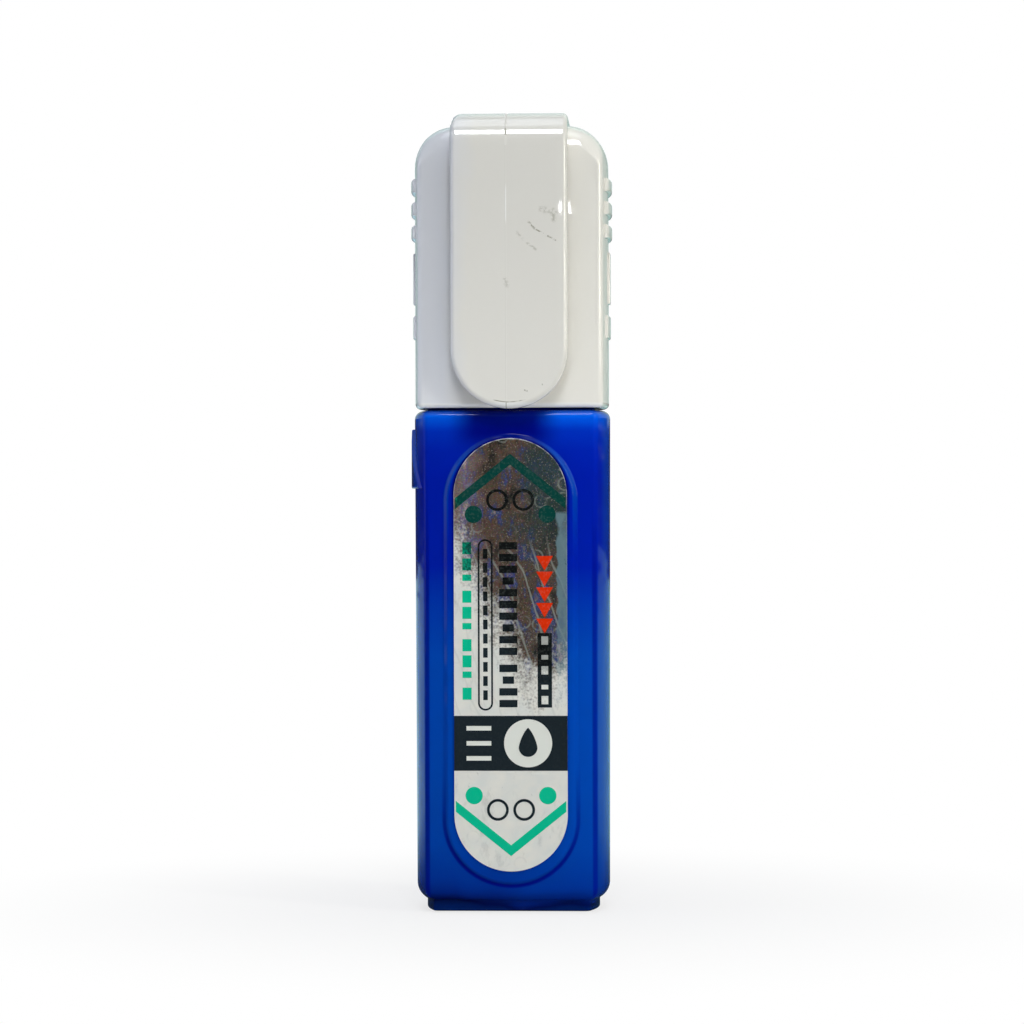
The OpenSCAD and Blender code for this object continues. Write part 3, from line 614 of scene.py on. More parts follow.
nozzle = {
    "plug": 4.18, "plugLow": nozzleLow.z, "flange": 5.4, "flangeLow": 77.9, "flangeTop": 79.9,
    "edge": 0.35, "bellFoot": 4.2, "bellTop": 2.1, "top": nozzleHigh.z, "chamber": 2.5,
    "chamberTop": 81.4, "bore": 1.62,
}
tip = {
    "shank": 1.6, "low": 81.4, "foot": 88.4, "cone": 1.9, "coneTop": 91.4, "land": 0.5,
    "tube": 0.65, "tubeTop": 95.9, "shankBore": 1.1, "boreCone": 89.4, "tubeBore": 0.45,
    "tubeBoreLow": 90.05, "edge": 0.08,
}
needle = {
    "stem": 0.7, "pin": 0.36, "stop": 1.7, "low": 75.18, "stopLow": 80.58, "stopTop": 81.38,
    "shoulder": 88.4, "top": 96.3, "edge": 0.1,
}
seal = {
    "radius": 3.08, "low": 88.5, "top": 97.8, "edge": 0.2,
    "mouth": 2.0, "mouthTop": 88.9, "bore": 0.75, "boreLow": 91.4, "boreTop": 96.4,
}
spring = {"wire": 0.36, "turns": 6, "stepsPerTurn": 24, "low": 72.9, "still": 0.4}


def turned(name, profile, body, material, replaced, steps=72):
    # spins a half section, given as distances from the axis and heights; it is closed unless it
    # starts and ends on the axis
    bm = bmesh.new()
    verts = [bm.verts.new((r, 0, z)) for r, z in profile]
    closing = verts[:1] if profile[0][0] else []
    edges = [bm.edges.new(pair) for pair in zip(verts, verts[1:] + closing)]
    bmesh.ops.spin(bm, geom=verts + edges, cent=(0, 0, 0), axis=(0, 0, 1), dvec=(0, 0, 0),
                   angle=2 * math.pi, steps=steps, use_merge=True, use_duplicate=False)
    bmesh.ops.remove_doubles(bm, verts=bm.verts, dist=tiny)
    finishPiece(name, bm, body, material, replaced, sharp=28)


def corner(r, z, radius, fromAngle, steps=4):
    # quarter round about a centre, for a half section
    angles = [math.radians(fromAngle + 90 * i / steps) for i in range(steps + 1)]
    return [(r + radius * math.cos(a), z + radius * math.sin(a)) for a in angles]


def buildNozzle(ivory):
    n = nozzle
    edge, foot, top = n["edge"], n["flangeTop"], n["top"]
    flare, rise = n["bellFoot"] - n["bellTop"], top - foot
    arc = (flare ** 2 + rise ** 2) / (2 * flare)
    ups = [rise * i / 16 for i in range(1, 16)]
    bell = [(n["bellTop"] + arc - math.sqrt(arc ** 2 - (rise - up) ** 2), foot + up) for up in ups]
    turned("nozzle_bell", [
        (n["chamber"], n["plugLow"]), (n["plug"] - 0.2, n["plugLow"]),
        (n["plug"], n["plugLow"] + 0.3),
        (n["plug"], n["flangeLow"]), (n["flange"], n["flangeLow"]),
        *corner(n["flange"] - edge, foot - edge, edge, 0),
        (n["bellFoot"] + 0.35, foot), (n["bellFoot"] + 0.12, foot + 0.1), *bell,
        (n["bellTop"], top - 0.1), (n["bellTop"] - 0.1, top), (n["bore"], top),
        (n["bore"], n["chamberTop"]), (n["chamber"], n["chamberTop"]),
    ], "bottle_body", ivory, "nozzle")


def buildTip(steel):
    t, lip = tip, tip["edge"]
    landTop = t["foot"] + t["land"]
    turned("tip_turned", [
        (t["shankBore"], t["low"]), (t["shank"] - lip, t["low"]), (t["shank"], t["low"] + lip),
        (t["shank"], t["foot"]), (t["cone"] - lip, t["foot"]), (t["cone"], t["foot"] + lip),
        (t["cone"], landTop - lip), (t["cone"] - 0.05, landTop),
        (t["tube"] + 0.06, t["coneTop"] - 0.1), (t["tube"], t["coneTop"] + 0.08),
        (t["tube"], t["tubeTop"] - lip), (t["tube"] - lip, t["tubeTop"]),
        (t["tubeBore"], t["tubeTop"]), (t["tubeBore"], t["tubeBoreLow"]),
        (t["shankBore"], t["boreCone"]),
    ], "bottle_body", steel, "metal_tip")


def buildNeedle(steel):
    n, lip = needle, needle["edge"]
    turned("needle_turned", [
        (0, n["low"]), (n["stem"] - lip, n["low"]), (n["stem"], n["low"] + lip),
        (n["stem"], n["stopLow"]),
        (n["stop"] - lip, n["stopLow"]), (n["stop"], n["stopLow"] + lip),
        (n["stop"], n["stopTop"] - lip), (n["stop"] - lip, n["stopTop"]), (n["stem"], n["stopTop"]),
        (n["stem"], n["shoulder"]), (n["pin"], n["shoulder"] + n["stem"] - n["pin"]),
        (n["pin"], n["top"] - 0.2), (n["pin"] - 0.07, n["top"] - 0.07), (n["pin"] / 2, n["top"]),
        (0, n["top"]),
    ], "needle_body", steel, "valve_needle", steps=48)


def buildSeal(rubber):
    s, edge = seal, seal["edge"]
    side = s["radius"] - edge
    turned("tip_seal_plug", [
        (s["mouth"], s["low"]), *corner(side, s["low"] + edge, edge, -90),
        *corner(side, s["top"] - edge, edge, 0), (0, s["top"]), (0, s["boreTop"]),
        (s["bore"], s["boreTop"]), (s["bore"], s["boreLow"] + 0.1), (s["bore"], s["boreLow"]),
        (s["mouth"], s["mouthTop"]),
    ], "cap_body", rubber, "tip_seal", steps=48)


def buildSpring(steel):
    # a round wire wound up from the seat to the needle's flange
    s = spring
    low, high, wire = s["low"], needle["stopLow"], s["wire"]
    steps = s["turns"] * s["stepsPerTurn"]
    place = Matrix.Translation((needle["stop"] - wire / 2, 0, low + wire / 2))
    bm = bmesh.new()
    bmesh.ops.create_circle(bm, cap_ends=False, segments=12, radius=wire / 2,
                            matrix=place @ Matrix.Rotation(quarterTurn, 4, "X"))
    bmesh.ops.spin(bm, geom=[*bm.verts, *bm.edges], cent=(0, 0, 0), axis=(0, 0, 1),
                   dvec=(0, 0, (high - low - wire) / steps), angle=2 * math.pi * s["turns"],
                   steps=steps, use_merge=False, use_duplicate=False)
    bmesh.ops.holes_fill(bm, edges=[e for e in bm.edges if e.is_boundary], sides=0)
    bmesh.ops.recalc_face_normals(bm, faces=bm.faces)
    piece = finishPiece("spring_wound", bm, None, steel, "valve_spring")
    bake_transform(piece)


def linear(r, g, b):
    # colour as seen, 0 to 255, to the values a shader takes
    parts = [v / 255 for v in (r, g, b)]
    return (*(v / 12.92 if v <= 0.04045 else ((v + 0.055) / 1.055) ** 2.4 for v in parts), 1)


def seen(r, g, b, level=0.82):
    # base colour that looks like this under the scene's plain light
    return (*(min(v / level, 0.95) for v in linear(r, g, b)[:3]), 1)


def feed(tree, node, inputs):
    # links an input to a socket, or sets it where a plain value is given
    for name, value in inputs.items():
        if isinstance(value, bpy.types.NodeSocket):
            tree.links.new(value, node.inputs[name])
        else:
            node.inputs[name].default_value = value


def addNode(tree, kind, inputs, **settings):
    node = tree.nodes.new("ShaderNode" + kind)
    for name, value in settings.items():
        setattr(node, name, value)
    feed(tree, node, inputs)
    return node


def newMaterial(name):
    material = bpy.data.materials.new(name)
    material.use_nodes = True
    return material, material.node_tree, material.node_tree.nodes["Principled BSDF"]


def calc(tree, operation, *values, clamp=False):
    node = addNode(tree, "Math", dict(enumerate(values)), operation=operation, use_clamp=clamp)
    return node.outputs["Value"]


def product(tree, first, *others):
    for value in others:
        first = calc(tree, "MULTIPLY", first, value)
    return first


def highest(tree, first, *others):
    for value in others:
        first = calc(tree, "MAXIMUM", first, value)
    return first


def distanceFrom(tree, value, place):
    return calc(tree, "ABSOLUTE", calc(tree, "SUBTRACT", value, place))


def fade(tree, value, low, high, toLow=0.0, toHigh=1.0, kind="LINEAR"):
    inputs = {"Value": value, "From Min": low, "From Max": high, "To Min": toLow, "To Max": toHigh}
    return addNode(tree, "MapRange", inputs, interpolation_type=kind).outputs["Result"]


def ease(tree, value, low, high, toLow=0.0, toHigh=1.0):
    return fade(tree, value, low, high, toLow, toHigh, "SMOOTHSTEP")


def between(tree, value, low, high, soft):
    # 1 between two limits, with soft edges
    return product(tree, ease(tree, value, low - soft, low), ease(tree, value, high + soft, high))


def ramp(tree, value, stops):
    node = addNode(tree, "ValToRGB", {"Fac": value})
    elements = node.color_ramp.elements
    while len(elements) < len(stops):
        elements.new(0.5)
    for element, (position, colour) in zip(elements, stops):
        element.position = position
        element.color = seen(*colour)
    return node.outputs["Color"]


def noise(tree, place, scale, detail=3.0, roughness=0.5):
    inputs = {"Vector": place, "Scale": scale, "Detail": detail, "Roughness": roughness}
    return addNode(tree, "TexNoise", inputs).outputs["Fac"]


def mix(tree, factor, first, second, blend="MIX"):
    # sockets 6 and 7 take the colours of a mix node, and 2 gives the result
    node = addNode(tree, "Mix", {0: factor, 6: first, 7: second}, data_type="RGBA",
                   blend_type=blend, clamp_factor=True)
    return node.outputs[2]


def vectorMath(tree, operation, inputs, output="Vector"):
    return addNode(tree, "VectorMath", inputs, operation=operation).outputs[output]


def scaleColour(tree, colour, factor):
    return vectorMath(tree, "SCALE", {0: colour, "Scale": factor})


def turnPlace(tree, place, scale, rotation=(0, 0, 0)):
    inputs = {"Vector": place, "Rotation": rotation, "Scale": scale}
    return addNode(tree, "Mapping", inputs).outputs["Vector"]


def splitPlace(tree):
    # object place in millimetres: the vector, and its x, y and z
    place = addNode(tree, "TexCoord", {}).outputs["Object"]
    place = vectorMath(tree, "SCALE", {0: place, "Scale": 1 / mm})
    x, y, z = addNode(tree, "SeparateXYZ", {0: place}).outputs
    return place, x, y, z


def bump(tree, height, distance):
    inputs = {"Height": height, "Distance": distance, "Strength": 1}
    return addNode(tree, "Bump", inputs).outputs["Normal"]


def stadiumDistance(tree, x, z, width, height, middle):
    # millimetres outside a shape with round ends on the front, negative inside it
    up = calc(tree, "SUBTRACT", distanceFrom(tree, z, middle), (height - width) / 2)
    up = calc(tree, "MAXIMUM", up, 0.0)
    away = calc(tree, "SQRT", calc(tree, "ADD", product(tree, x, x), product(tree, up, up)))
    return calc(tree, "SUBTRACT", away, width / 2)


bluePlastic = {
    "height": 110.0,  # the ramp runs over this many millimetres
    # height and colour as seen: paler low down and darker higher up, as painted shade, with painted
    # shade on the lower rounding and in the gap under the cap, and a painted highlight band on the
    # shoulder's rounding
    "stops": [(0.0, (0, 30, 92)), (1.4, (0, 24, 84)), (1.7, (0, 10, 70)), (2.6, (0, 32, 116)),
              (4.6, (0, 46, 138)), (9, (0, 58, 153)), (16, (0, 62, 158)), (34, (0, 63, 163)),
              (40, (0, 50, 158)), (46, (0, 26, 152)), (58, (0, 24, 152)), (61.5, (0, 29, 158)),
              (64.2, (0, 42, 172)), (65.7, (0, 76, 206)), (66.15, (0, 88, 214)), (66.45, (0, 78, 196)),
              (66.75, (0, 44, 140)), (66.88, (0, 6, 44)), (67.3, (0, 6, 44)), (67.6, (0, 60, 185))],
    # these colours paint light and shade: shine and shade on the panel's border, a shadow line round
    # the label, shade in the creases and under the clip's end, a pale sheen on the upper side edges;
    # the gains paint the left darker and the right lighter
    "rimShine": (0, 68, 158), "rimShade": (0, 6, 118), "labelShade": (0, 4, 84),
    "creaseShade": (0, 8, 122), "paintedEdgeReflection": (0, 72, 156), "paintedClipShade": (0, 5, 112),
    "drift": 9.0, "gloss": 0.06, "plugGloss": 0.12, "leftPaintedLight": 0.93, "rightPaintedLight": 1.14,
}


def makeBlue(name, roughness, panel=False):
    p, b, l = bluePlastic, bottle, label
    material, tree, shader = newMaterial(name)
    place, x, y, z = splitPlace(tree)
    # the height where the pale lower tone turns to the darker upper one wanders a little, but the
    # painted bands on the rim and the shoulder stay level
    drift = calc(tree, "MULTIPLY_ADD", noise(tree, place, 0.06, 2), p["drift"], -p["drift"] / 2)
    level = calc(tree, "MULTIPLY_ADD", drift, fade(tree, z, 58, 48), z)
    level = calc(tree, "MINIMUM", level, calc(tree, "MAXIMUM", z, 30.0))
    level = calc(tree, "MAXIMUM", level, calc(tree, "MINIMUM", z, 12.0))
    stops = [(h / p["height"], c) for h, c in p["stops"]]
    colour = ramp(tree, fade(tree, level, 0, p["height"]), stops)
    across = calc(tree, "ABSOLUTE", x)
    if panel:
        # painted light on the raised panel: a painted highlight on its border above and painted shade
        # below, a painted shadow line round the label, painted shade in the creases beside it and
        # under the clip's end
        front = fade(tree, y, -6.9, -7.15)
        upper, lower = ease(tree, z, 46, 60), ease(tree, z, 22, 6)
        border = stadiumDistance(tree, x, z, b["panelWidth"], b["panelHeight"], b["panelMiddle"])
        tag = stadiumDistance(tree, x, z, l["width"], l["height"], l["middle"])
        masks = {
            "rimShine": (between(tree, border, -0.6, -0.3, 0.35), upper, front, 0.7),
            "rimShade": (between(tree, border, -0.22, 0.0, 0.3), lower, front, 0.9),
            "labelShade": (ease(tree, tag, 0.42, 0.1), calc(tree, "MULTIPLY_ADD", upper, 0.75, 0.2),
                           front),
            "creaseShade": (between(tree, across, 11.0, 11.35, 0.3), fade(tree, y, -6.2, -6.6),
                            ease(tree, z, 58, 42), 0.75),
            "paintedClipShade": (between(tree, x, -4.4, 2.8, 4.5), ease(tree, z, 60.5, 64.0, 0, 0.95),
                          fade(tree, y, -5.0, -6.5)),
        }
        for tone, parts in masks.items():
            colour = mix(tree, product(tree, *parts), colour, seen(*p[tone]))
    # painted reflection: a paler tone on the upper outer side edges
    outer = product(tree, fade(tree, across, 12.0, 13.2, 0, 0.6), fade(tree, z, 40, 52))
    colour = mix(tree, outer, colour, seen(*p["paintedEdgeReflection"]))
    # painted light: darker on the left, lighter on the right
    paintedSideLight = fade(tree, x, -12, 12, p["leftPaintedLight"], p["rightPaintedLight"])
    skin = noise(tree, place, 0.9, 4)
    feed(tree, shader, {
        "Base Color": scaleColour(tree, colour, paintedSideLight), "Specular IOR Level": 0.15,
        "Roughness": fade(tree, skin, 0.3, 0.7, roughness, roughness + 0.05),
        "Normal": bump(tree, noise(tree, place, 0.22, 1), 0.00012),
    })
    return material


whitePlastic = {
    # painted light: a cooler tone on the left and a warmer one on the right, a lighter lower cap, a
    # pale rim on the mouth's lower rounding, a darker clip front and a painted highlight on the
    # parting line; the scuff colour also paints shade where the parting line crosses the bend
    "paintedCoolLight": (205, 206, 210), "paintedWarmLight": (210, 208, 203), "rim": (246, 247, 250),
    "paintedStrapShade": 0.93, "paintedMouthLight": 1.13, "roughness": 0.012,
    "partingLine": -0.37, "lineWidth": 0.09, "paintedLineHighlight": (0.95, 0.95, 0.93, 1),
    "endCentre": 74.8, "endSeam": 6.95,  # seam near the clip's round end
    "scuffAndShadeColour": (112, 110, 88), "softness": 3.2,
    # scuffs on the clip's front: from x, z to x, z, half width, strength
    "scuffs": [(2.6, 91.7, 3.5, 90.7, 0.07, 0.8), (3.5, 90.7, 4.9, 89.9, 0.05, 1.0),
               (4.9, 89.9, 6.2, 89.2, 0.06, 0.9), (4.4, 93.3, 6.1, 92.9, 0.22, 0.35),
               (5.9, 93.2, 6.0, 91.9, 0.16, 0.45), (1.1, 90.3, 1.9, 89.4, 0.10, 0.35),
               (2.5, 88.8, 3.6, 88.0, 0.09, 0.4), (-0.5, 84.0, -0.2, 83.3, 0.16, 0.3),
               (2.1, 69.4, 2.4, 69.3, 0.05, 0.9), (4.4, 70.2, 4.45, 70.1, 0.04, 0.8)],
}


def strokeMask(tree, flat, stroke):
    # soft line between two points of the front view
    fromX, fromZ, toX, toZ, width, strength = stroke
    along = Vector((toX - fromX, 0, toZ - fromZ))
    start = vectorMath(tree, "SUBTRACT", {0: flat, 1: (fromX, 0, fromZ)})
    part = vectorMath(tree, "DOT_PRODUCT", {0: start, 1: along / along.length_squared}, "Value")
    part = calc(tree, "MULTIPLY", part, 1.0, clamp=True)
    foot = vectorMath(tree, "SCALE", {0: along, "Scale": part})
    away = vectorMath(tree, "DISTANCE", {0: start, 1: foot}, "Value")
    return ease(tree, away, width * whitePlastic["softness"], 0, 0, strength)


def makeWhite():
    w = whitePlastic
    material, tree, shader = newMaterial("whiteGloss")
    place, x, y, z = splitPlace(tree)
    # painted light: cooler on the left, where the clip shades the face, and warmer on the right
    tilt = calc(tree, "MULTIPLY_ADD", noise(tree, place, 0.12, 2), 4.0, x)
    colour = mix(tree, fade(tree, tilt, -7.0, -3.0), seen(*w["paintedCoolLight"]), seen(*w["paintedWarmLight"]))
    # painted light: lighter towards the mouth
    colour = scaleColour(tree, colour, fade(tree, z, 97, 69, 1.0, w["paintedMouthLight"]))
    # painted light on the mouth's lower rounding, at the front
    rim = product(tree, ease(tree, z, 67.95, 67.6), fade(tree, y, -6.4, -7.0))
    colour = mix(tree, rim, colour, seen(*w["rim"]))
    # painted shade on the clip's front
    colour = scaleColour(tree, colour, fade(tree, y, -8.7, -8.8, 1.0, w["paintedStrapShade"]))
    # scuffs and the dirt in the seams, with painted shade where the parting line crosses the bend, on
    # the clip's front alone
    front = fade(tree, y, -8.8, -9.0)
    flat = addNode(tree, "CombineXYZ", {"X": x, "Z": z}).outputs["Vector"]
    strokes = [strokeMask(tree, flat, stroke) for stroke in w["scuffs"]]
    grit = fade(tree, noise(tree, place, 3.2, 4), 0.42, 0.6)
    scuffs = product(tree, highest(tree, *strokes), grit)
    end = w["endCentre"]
    away = vectorMath(tree, "DISTANCE", {0: flat, 1: (0, 0, end)}, "Value")
    offSeam = distanceFrom(tree, away, w["endSeam"])
    offLine = distanceFrom(tree, x, w["partingLine"])
    arc = product(tree, fade(tree, offSeam, 0.1, 0.02, 0, 0.8), fade(tree, z, end - 6.62, end - 6.72))
    crack = product(tree, fade(tree, offLine, 0.09, 0.02, 0, 0.7),
                    fade(tree, z, end - 6.8, end - 6.95))
    broken = fade(tree, noise(tree, place, 1.3), 0.4, 0.55, 0.25, 1.0)
    # painted shade on the parting line breaks the shine on the bend
    split = product(tree, fade(tree, offLine, 0.15, 0.09, 0, 0.45),
                    between(tree, z, 103.25, 104.05, 0.15))
    seamDirtAndSplitShade = highest(tree, product(tree, highest(tree, arc, crack), broken), split)
    dirtAndSplitShade = product(tree, highest(tree, scuffs, seamDirtAndSplitShade), front)
    colour = mix(tree, dirtAndSplitShade, colour, seen(*w["scuffAndShadeColour"]))
    # the parting line stands out a little, most in one stretch, where a painted highlight lies on it
    high = product(tree, ease(tree, z, 91.0, 92.6), ease(tree, z, 97.0, 95.6))
    worn = product(tree, high, front, fade(tree, offLine, 0.1, 0.03, 0, 0.9))
    colour = mix(tree, worn, colour, w["paintedLineHighlight"])
    bend = fade(tree, z, 101.5, 102.6, 0, 0.6)
    matt = highest(tree, dirtAndSplitShade, product(tree, bend, fade(tree, offLine, 0.17, 0.12, 0, 5)))
    skin = noise(tree, place, 1.1, 4)
    gloss = fade(tree, skin, 0.3, 0.7, w["roughness"], w["roughness"] + 0.014)
    height = highest(tree, bend, calc(tree, "MULTIPLY_ADD", high, 0.75, 0.2))
    ridge = product(tree, ease(tree, offLine, w["lineWidth"], 0.0), height, fade(tree, y, -7.0, -7.6))
    wavy = calc(tree, "MULTIPLY_ADD", noise(tree, place, 0.25, 1), 0.02, ridge)
    feed(tree, shader, {
        "Base Color": colour, "Roughness": calc(tree, "MULTIPLY_ADD", matt, 0.3, gloss),
        "Normal": bump(tree, wavy, 0.00006), "Specular IOR Level": 0.9,
    })
    return material


foil = {
    # the pale lower part's colours; a fourth value is the level of light that they are seen in
    "light": (206, 207, 203, 0.74), "warmLight": (214, 212, 205, 0.74), "middle": (140, 143, 141),
    # the dark upper part's colours, as patches
    "patches": [(0.0, (14, 22, 24)), (0.25, (58, 50, 44)), (0.45, (92, 74, 62)), (0.58, (76, 64, 60)),
                (0.72, (54, 66, 122)), (0.85, (104, 98, 98)), (1.0, (184, 158, 172))],
    "green": (40, 60, 60), "pink": (150, 130, 134), "spark": (186, 172, 160),
    "ring": 0.27, "mark": (150, 156, 148), "strip": (110, 138, 148), "outline": (216, 218, 222),
    "edge": 35.0, "slant": -1.9, "wander": 13.0,  # height where dark turns light at the middle
    "foldTurn": 38, "foldStretch": 0.5,
}


def darkZone(tree, place, x, z):
    # 1 where the foil is dark, 0 where it is light, with a grainy change between them
    limit = calc(tree, "MULTIPLY_ADD", calc(tree, "MINIMUM", x, 2.2), foil["slant"], foil["edge"])
    above = calc(tree, "SUBTRACT", z, limit)
    for grain in (noise(tree, place, 0.33, 4, 0.6), noise(tree, place, 3.4, 2)):
        centred = calc(tree, "SUBTRACT", grain, 0.5)
        above = calc(tree, "MULTIPLY_ADD", centred, foil["wander"], above)
    return ease(tree, above, -4.0, 5.5)


def makeFoil():
    f, l = foil, label
    material, tree, shader = newMaterial("mottledFoil")
    place, x, y, z = splitPlace(tree)
    dark = darkZone(tree, place, x, z)
    slanted = turnPlace(tree, place, (1, 1, f["foldStretch"]), (0, math.radians(f["foldTurn"]), 0))
    patches = noise(tree, slanted, 0.42, 8, 0.68)
    deep = ramp(tree, fade(tree, patches, 0.3, 0.7), f["patches"])
    # greener on the right, pinker on the left
    hue = calc(tree, "MULTIPLY_ADD", noise(tree, place, 0.3, 2), 9.0, x)
    green = product(tree, fade(tree, z, 45.0, 53.0, 0.15, 1.0), fade(tree, hue, 4.8, 7.5, 0, 0.85))
    deep = mix(tree, green, deep, seen(*f["green"]))
    deep = mix(tree, fade(tree, hue, 1.5, -2.5, 0, 0.4), deep, seen(*f["pink"]))
    # grains that each send back another colour
    grains = addNode(tree, "TexVoronoi", {"Vector": place, "Scale": 7.5}).outputs["Color"]
    deep = mix(tree, 0.8, deep, mix(tree, 0.45, (0.5, 0.5, 0.5, 1), grains), "OVERLAY")
    spark = fade(tree, noise(tree, place, 5.0, 2), 0.6, 0.72, 0, 0.5)
    deep = mix(tree, spark, deep, seen(*f["spark"]))
    # faint pressed rings and fine folds
    flat = addNode(tree, "CombineXYZ", {"X": x, "Y": z}).outputs["Vector"]
    cells = addNode(tree, "TexVoronoi", {"Vector": flat, "Scale": 0.34, "Randomness": 0.75},
                    voronoi_dimensions="2D").outputs["Distance"]
    some = fade(tree, noise(tree, place, 0.21, 1), 0.42, 0.6)
    gaps = fade(tree, noise(tree, place, 0.95), 0.42, 0.58, 0.15, 1)
    ring = fade(tree, distanceFrom(tree, cells, f["ring"]), 0.055, 0.02, 0, 1)
    ring = product(tree, ring, some, gaps)
    waves = addNode(tree, "TexWave", {"Vector": slanted, "Scale": 0.16, "Distortion": 5.0,
                                      "Detail": 3.0, "Detail Scale": 0.9}).outputs["Fac"]
    fold = product(tree, fade(tree, waves, 0.95, 0.995), between(tree, z, 27.0, 46.0, 5.0))
    mark = highest(tree, product(tree, ring, 0.5), product(tree, fold, 0.6))
    deep = mix(tree, mark, deep, seen(*f["mark"]))
    # an unprinted strip with a wavy edge, on the right
    stripEdge = calc(tree, "MULTIPLY_ADD", noise(tree, place, 0.5, 4), 1.6, x)
    strip = product(tree, fade(tree, stripEdge, 6.9, 7.15), fade(tree, z, 53.4, 53.0),
                    fade(tree, patches, 0.66, 0.5, 0.4, 0.85))
    deep = mix(tree, strip, deep, seen(*f["strip"]))
    cloud = fade(tree, noise(tree, place, 0.4, 4), 0.35, 0.65)
    pale = mix(tree, cloud, seen(*f["light"]), seen(*f["warmLight"]))
    for share in (product(tree, mark, 0.22), fade(tree, patches, 0.56, 0.68, 0, 0.3)):
        pale = mix(tree, share, pale, seen(*f["middle"]))
    # the bright cut edge, with a painted highlight that is strongest on the upper arc
    outer = stadiumDistance(tree, x, z, l["width"], l["height"], l["middle"])
    cut = product(tree, fade(tree, outer, -0.1, -0.06), fade(tree, z, 54.0, 59.0, 0.2, 0.85), gaps)
    feed(tree, shader, {
        "Base Color": mix(tree, cut, mix(tree, dark, pale, deep), seen(*f["outline"])),
        "Metallic": fade(tree, dark, 0, 1, 0.15, 0.3),
        "Roughness": fade(tree, patches, 0.3, 0.7, 0.26, 0.42),
        "Normal": bump(tree, calc(tree, "MULTIPLY_ADD", mark, 0.4, patches), 0.00006),
    })
    return material


def makeInk(name, colour, darkColour):
    # printed on the foil, so it darkens with it
    worn = (170, 178, 172)
    material, tree, shader = newMaterial(name)
    place, x, y, z = splitPlace(tree)
    dark = darkZone(tree, place, x, z)
    tint = mix(tree, dark, seen(*colour), seen(*darkColour))
    speckle = noise(tree, place, 4.0)
    wear = product(tree, fade(tree, speckle, 0.5, 0.8, 0, 0.1),
                   calc(tree, "MULTIPLY_ADD", dark, 0.85, 0.15))
    feed(tree, shader, {
        "Base Color": mix(tree, wear, tint, seen(*worn)), "Specular IOR Level": 0.1,
        "Roughness": fade(tree, speckle, 0.3, 0.7, 0.28, 0.4),
    })
    return material


def makeSteel(name, colour, roughness, rings=True):
    material, tree, shader = newMaterial(name)
    place = splitPlace(tree)[0]
    lines = noise(tree, turnPlace(tree, place, (0.2, 0.2, 9.0) if rings else (2.0, 2.0, 2.0)), 1.0)
    feed(tree, shader, {
        "Base Color": linear(*colour), "Metallic": 1, "Normal": bump(tree, lines, 0.000004),
        "Roughness": fade(tree, lines, 0.3, 0.7, roughness - 0.05, roughness + 0.08),
    })
    return material


def makePlastic(name, colour, roughness):
    material, tree, shader = newMaterial(name)
    place = splitPlace(tree)[0]
    colour = seen(*colour)
    shade = (*(0.8 * v for v in colour[:3]), 1)
    tone = fade(tree, noise(tree, place, 0.5, 2), 0.3, 0.7, 0, 0.12)
    grain = noise(tree, place, 1.2)
    feed(tree, shader, {
        "Base Color": mix(tree, tone, colour, shade),
        "Roughness": fade(tree, grain, 0.3, 0.7, roughness - 0.04, roughness + 0.06),
    })
    return material


def showWhite(tree, shaded, share, glossy, tint):
    # camera and see-through rays get the white background, mixed in by the given share,
    # and mirrored rays get the glossy socket's strength of the tint
    path = addNode(tree, "LightPath", {}).outputs
    glow = addNode(tree, "Emission", {"Color": (1, 1, 1, 1)}).outputs["Emission"]
    mirrored = addNode(tree, "Emission", {"Strength": glossy, "Color": tint}).outputs["Emission"]
    direct = calc(tree, "MAXIMUM", path["Is Camera Ray"], path["Is Transmission Ray"])
    for share, shader in ((product(tree, direct, share), glow), (path["Is Glossy Ray"], mirrored)):
        shaded = addNode(tree, "MixShader", {0: share, 1: shaded, 2: shader}).outputs["Shader"]
    return shaded


def makeStage():
    # gloss: how bright the floor is in mirrored rays, in front of and behind the pen, left and right
    stage = {
        "behind": 1.9, "front": 1.2, "width": 4.4, "drop": 0.0002, "tone": 0.9,
        "frontGloss": 0.06, "leftGloss": 0.8, "rightGloss": 0.5,
        "leftTint": (0.58, 0.9, 1.0, 1), "rightTint": (0.5, 1.0, 0.92, 1),
        "shadowShare": 0.75, "shadowNear": 12, "shadowFar": 90,
    }
    bpy.ops.mesh.primitive_plane_add(size=1, location=(0, 0, 0))
    floor = bpy.context.object
    floor.name = "floor"
    depth, middle = stage["behind"] + stage["front"], (stage["behind"] - stage["front"]) / 2
    for v in floor.data.vertices:
        v.co = (v.co.x * stage["width"], v.co.y * depth + middle, -stage["drop"])
    material, tree, shader = newMaterial("paleFloor")
    place, x, y, z = splitPlace(tree)
    tone = stage["tone"]
    feed(tree, shader, {"Base Color": (tone, tone, tone, 1), "Roughness": 0.9,
                        "Specular IOR Level": 0})
    behind = ease(tree, x, -6, 6, stage["leftGloss"], stage["rightGloss"])
    gloss = ease(tree, y, 10, 130, stage["frontGloss"], behind)
    tint = mix(tree, fade(tree, x, -6, 6), stage["leftTint"], stage["rightTint"])
    away = vectorMath(tree, "LENGTH", {0: place}, "Value")
    share = ease(tree, away, stage["shadowNear"], stage["shadowFar"], stage["shadowShare"], 1.0)
    surface = showWhite(tree, shader.outputs["BSDF"], share, gloss, tint)
    feed(tree, tree.nodes["Material Output"], {"Surface": surface})
    floor.data.materials.append(material)


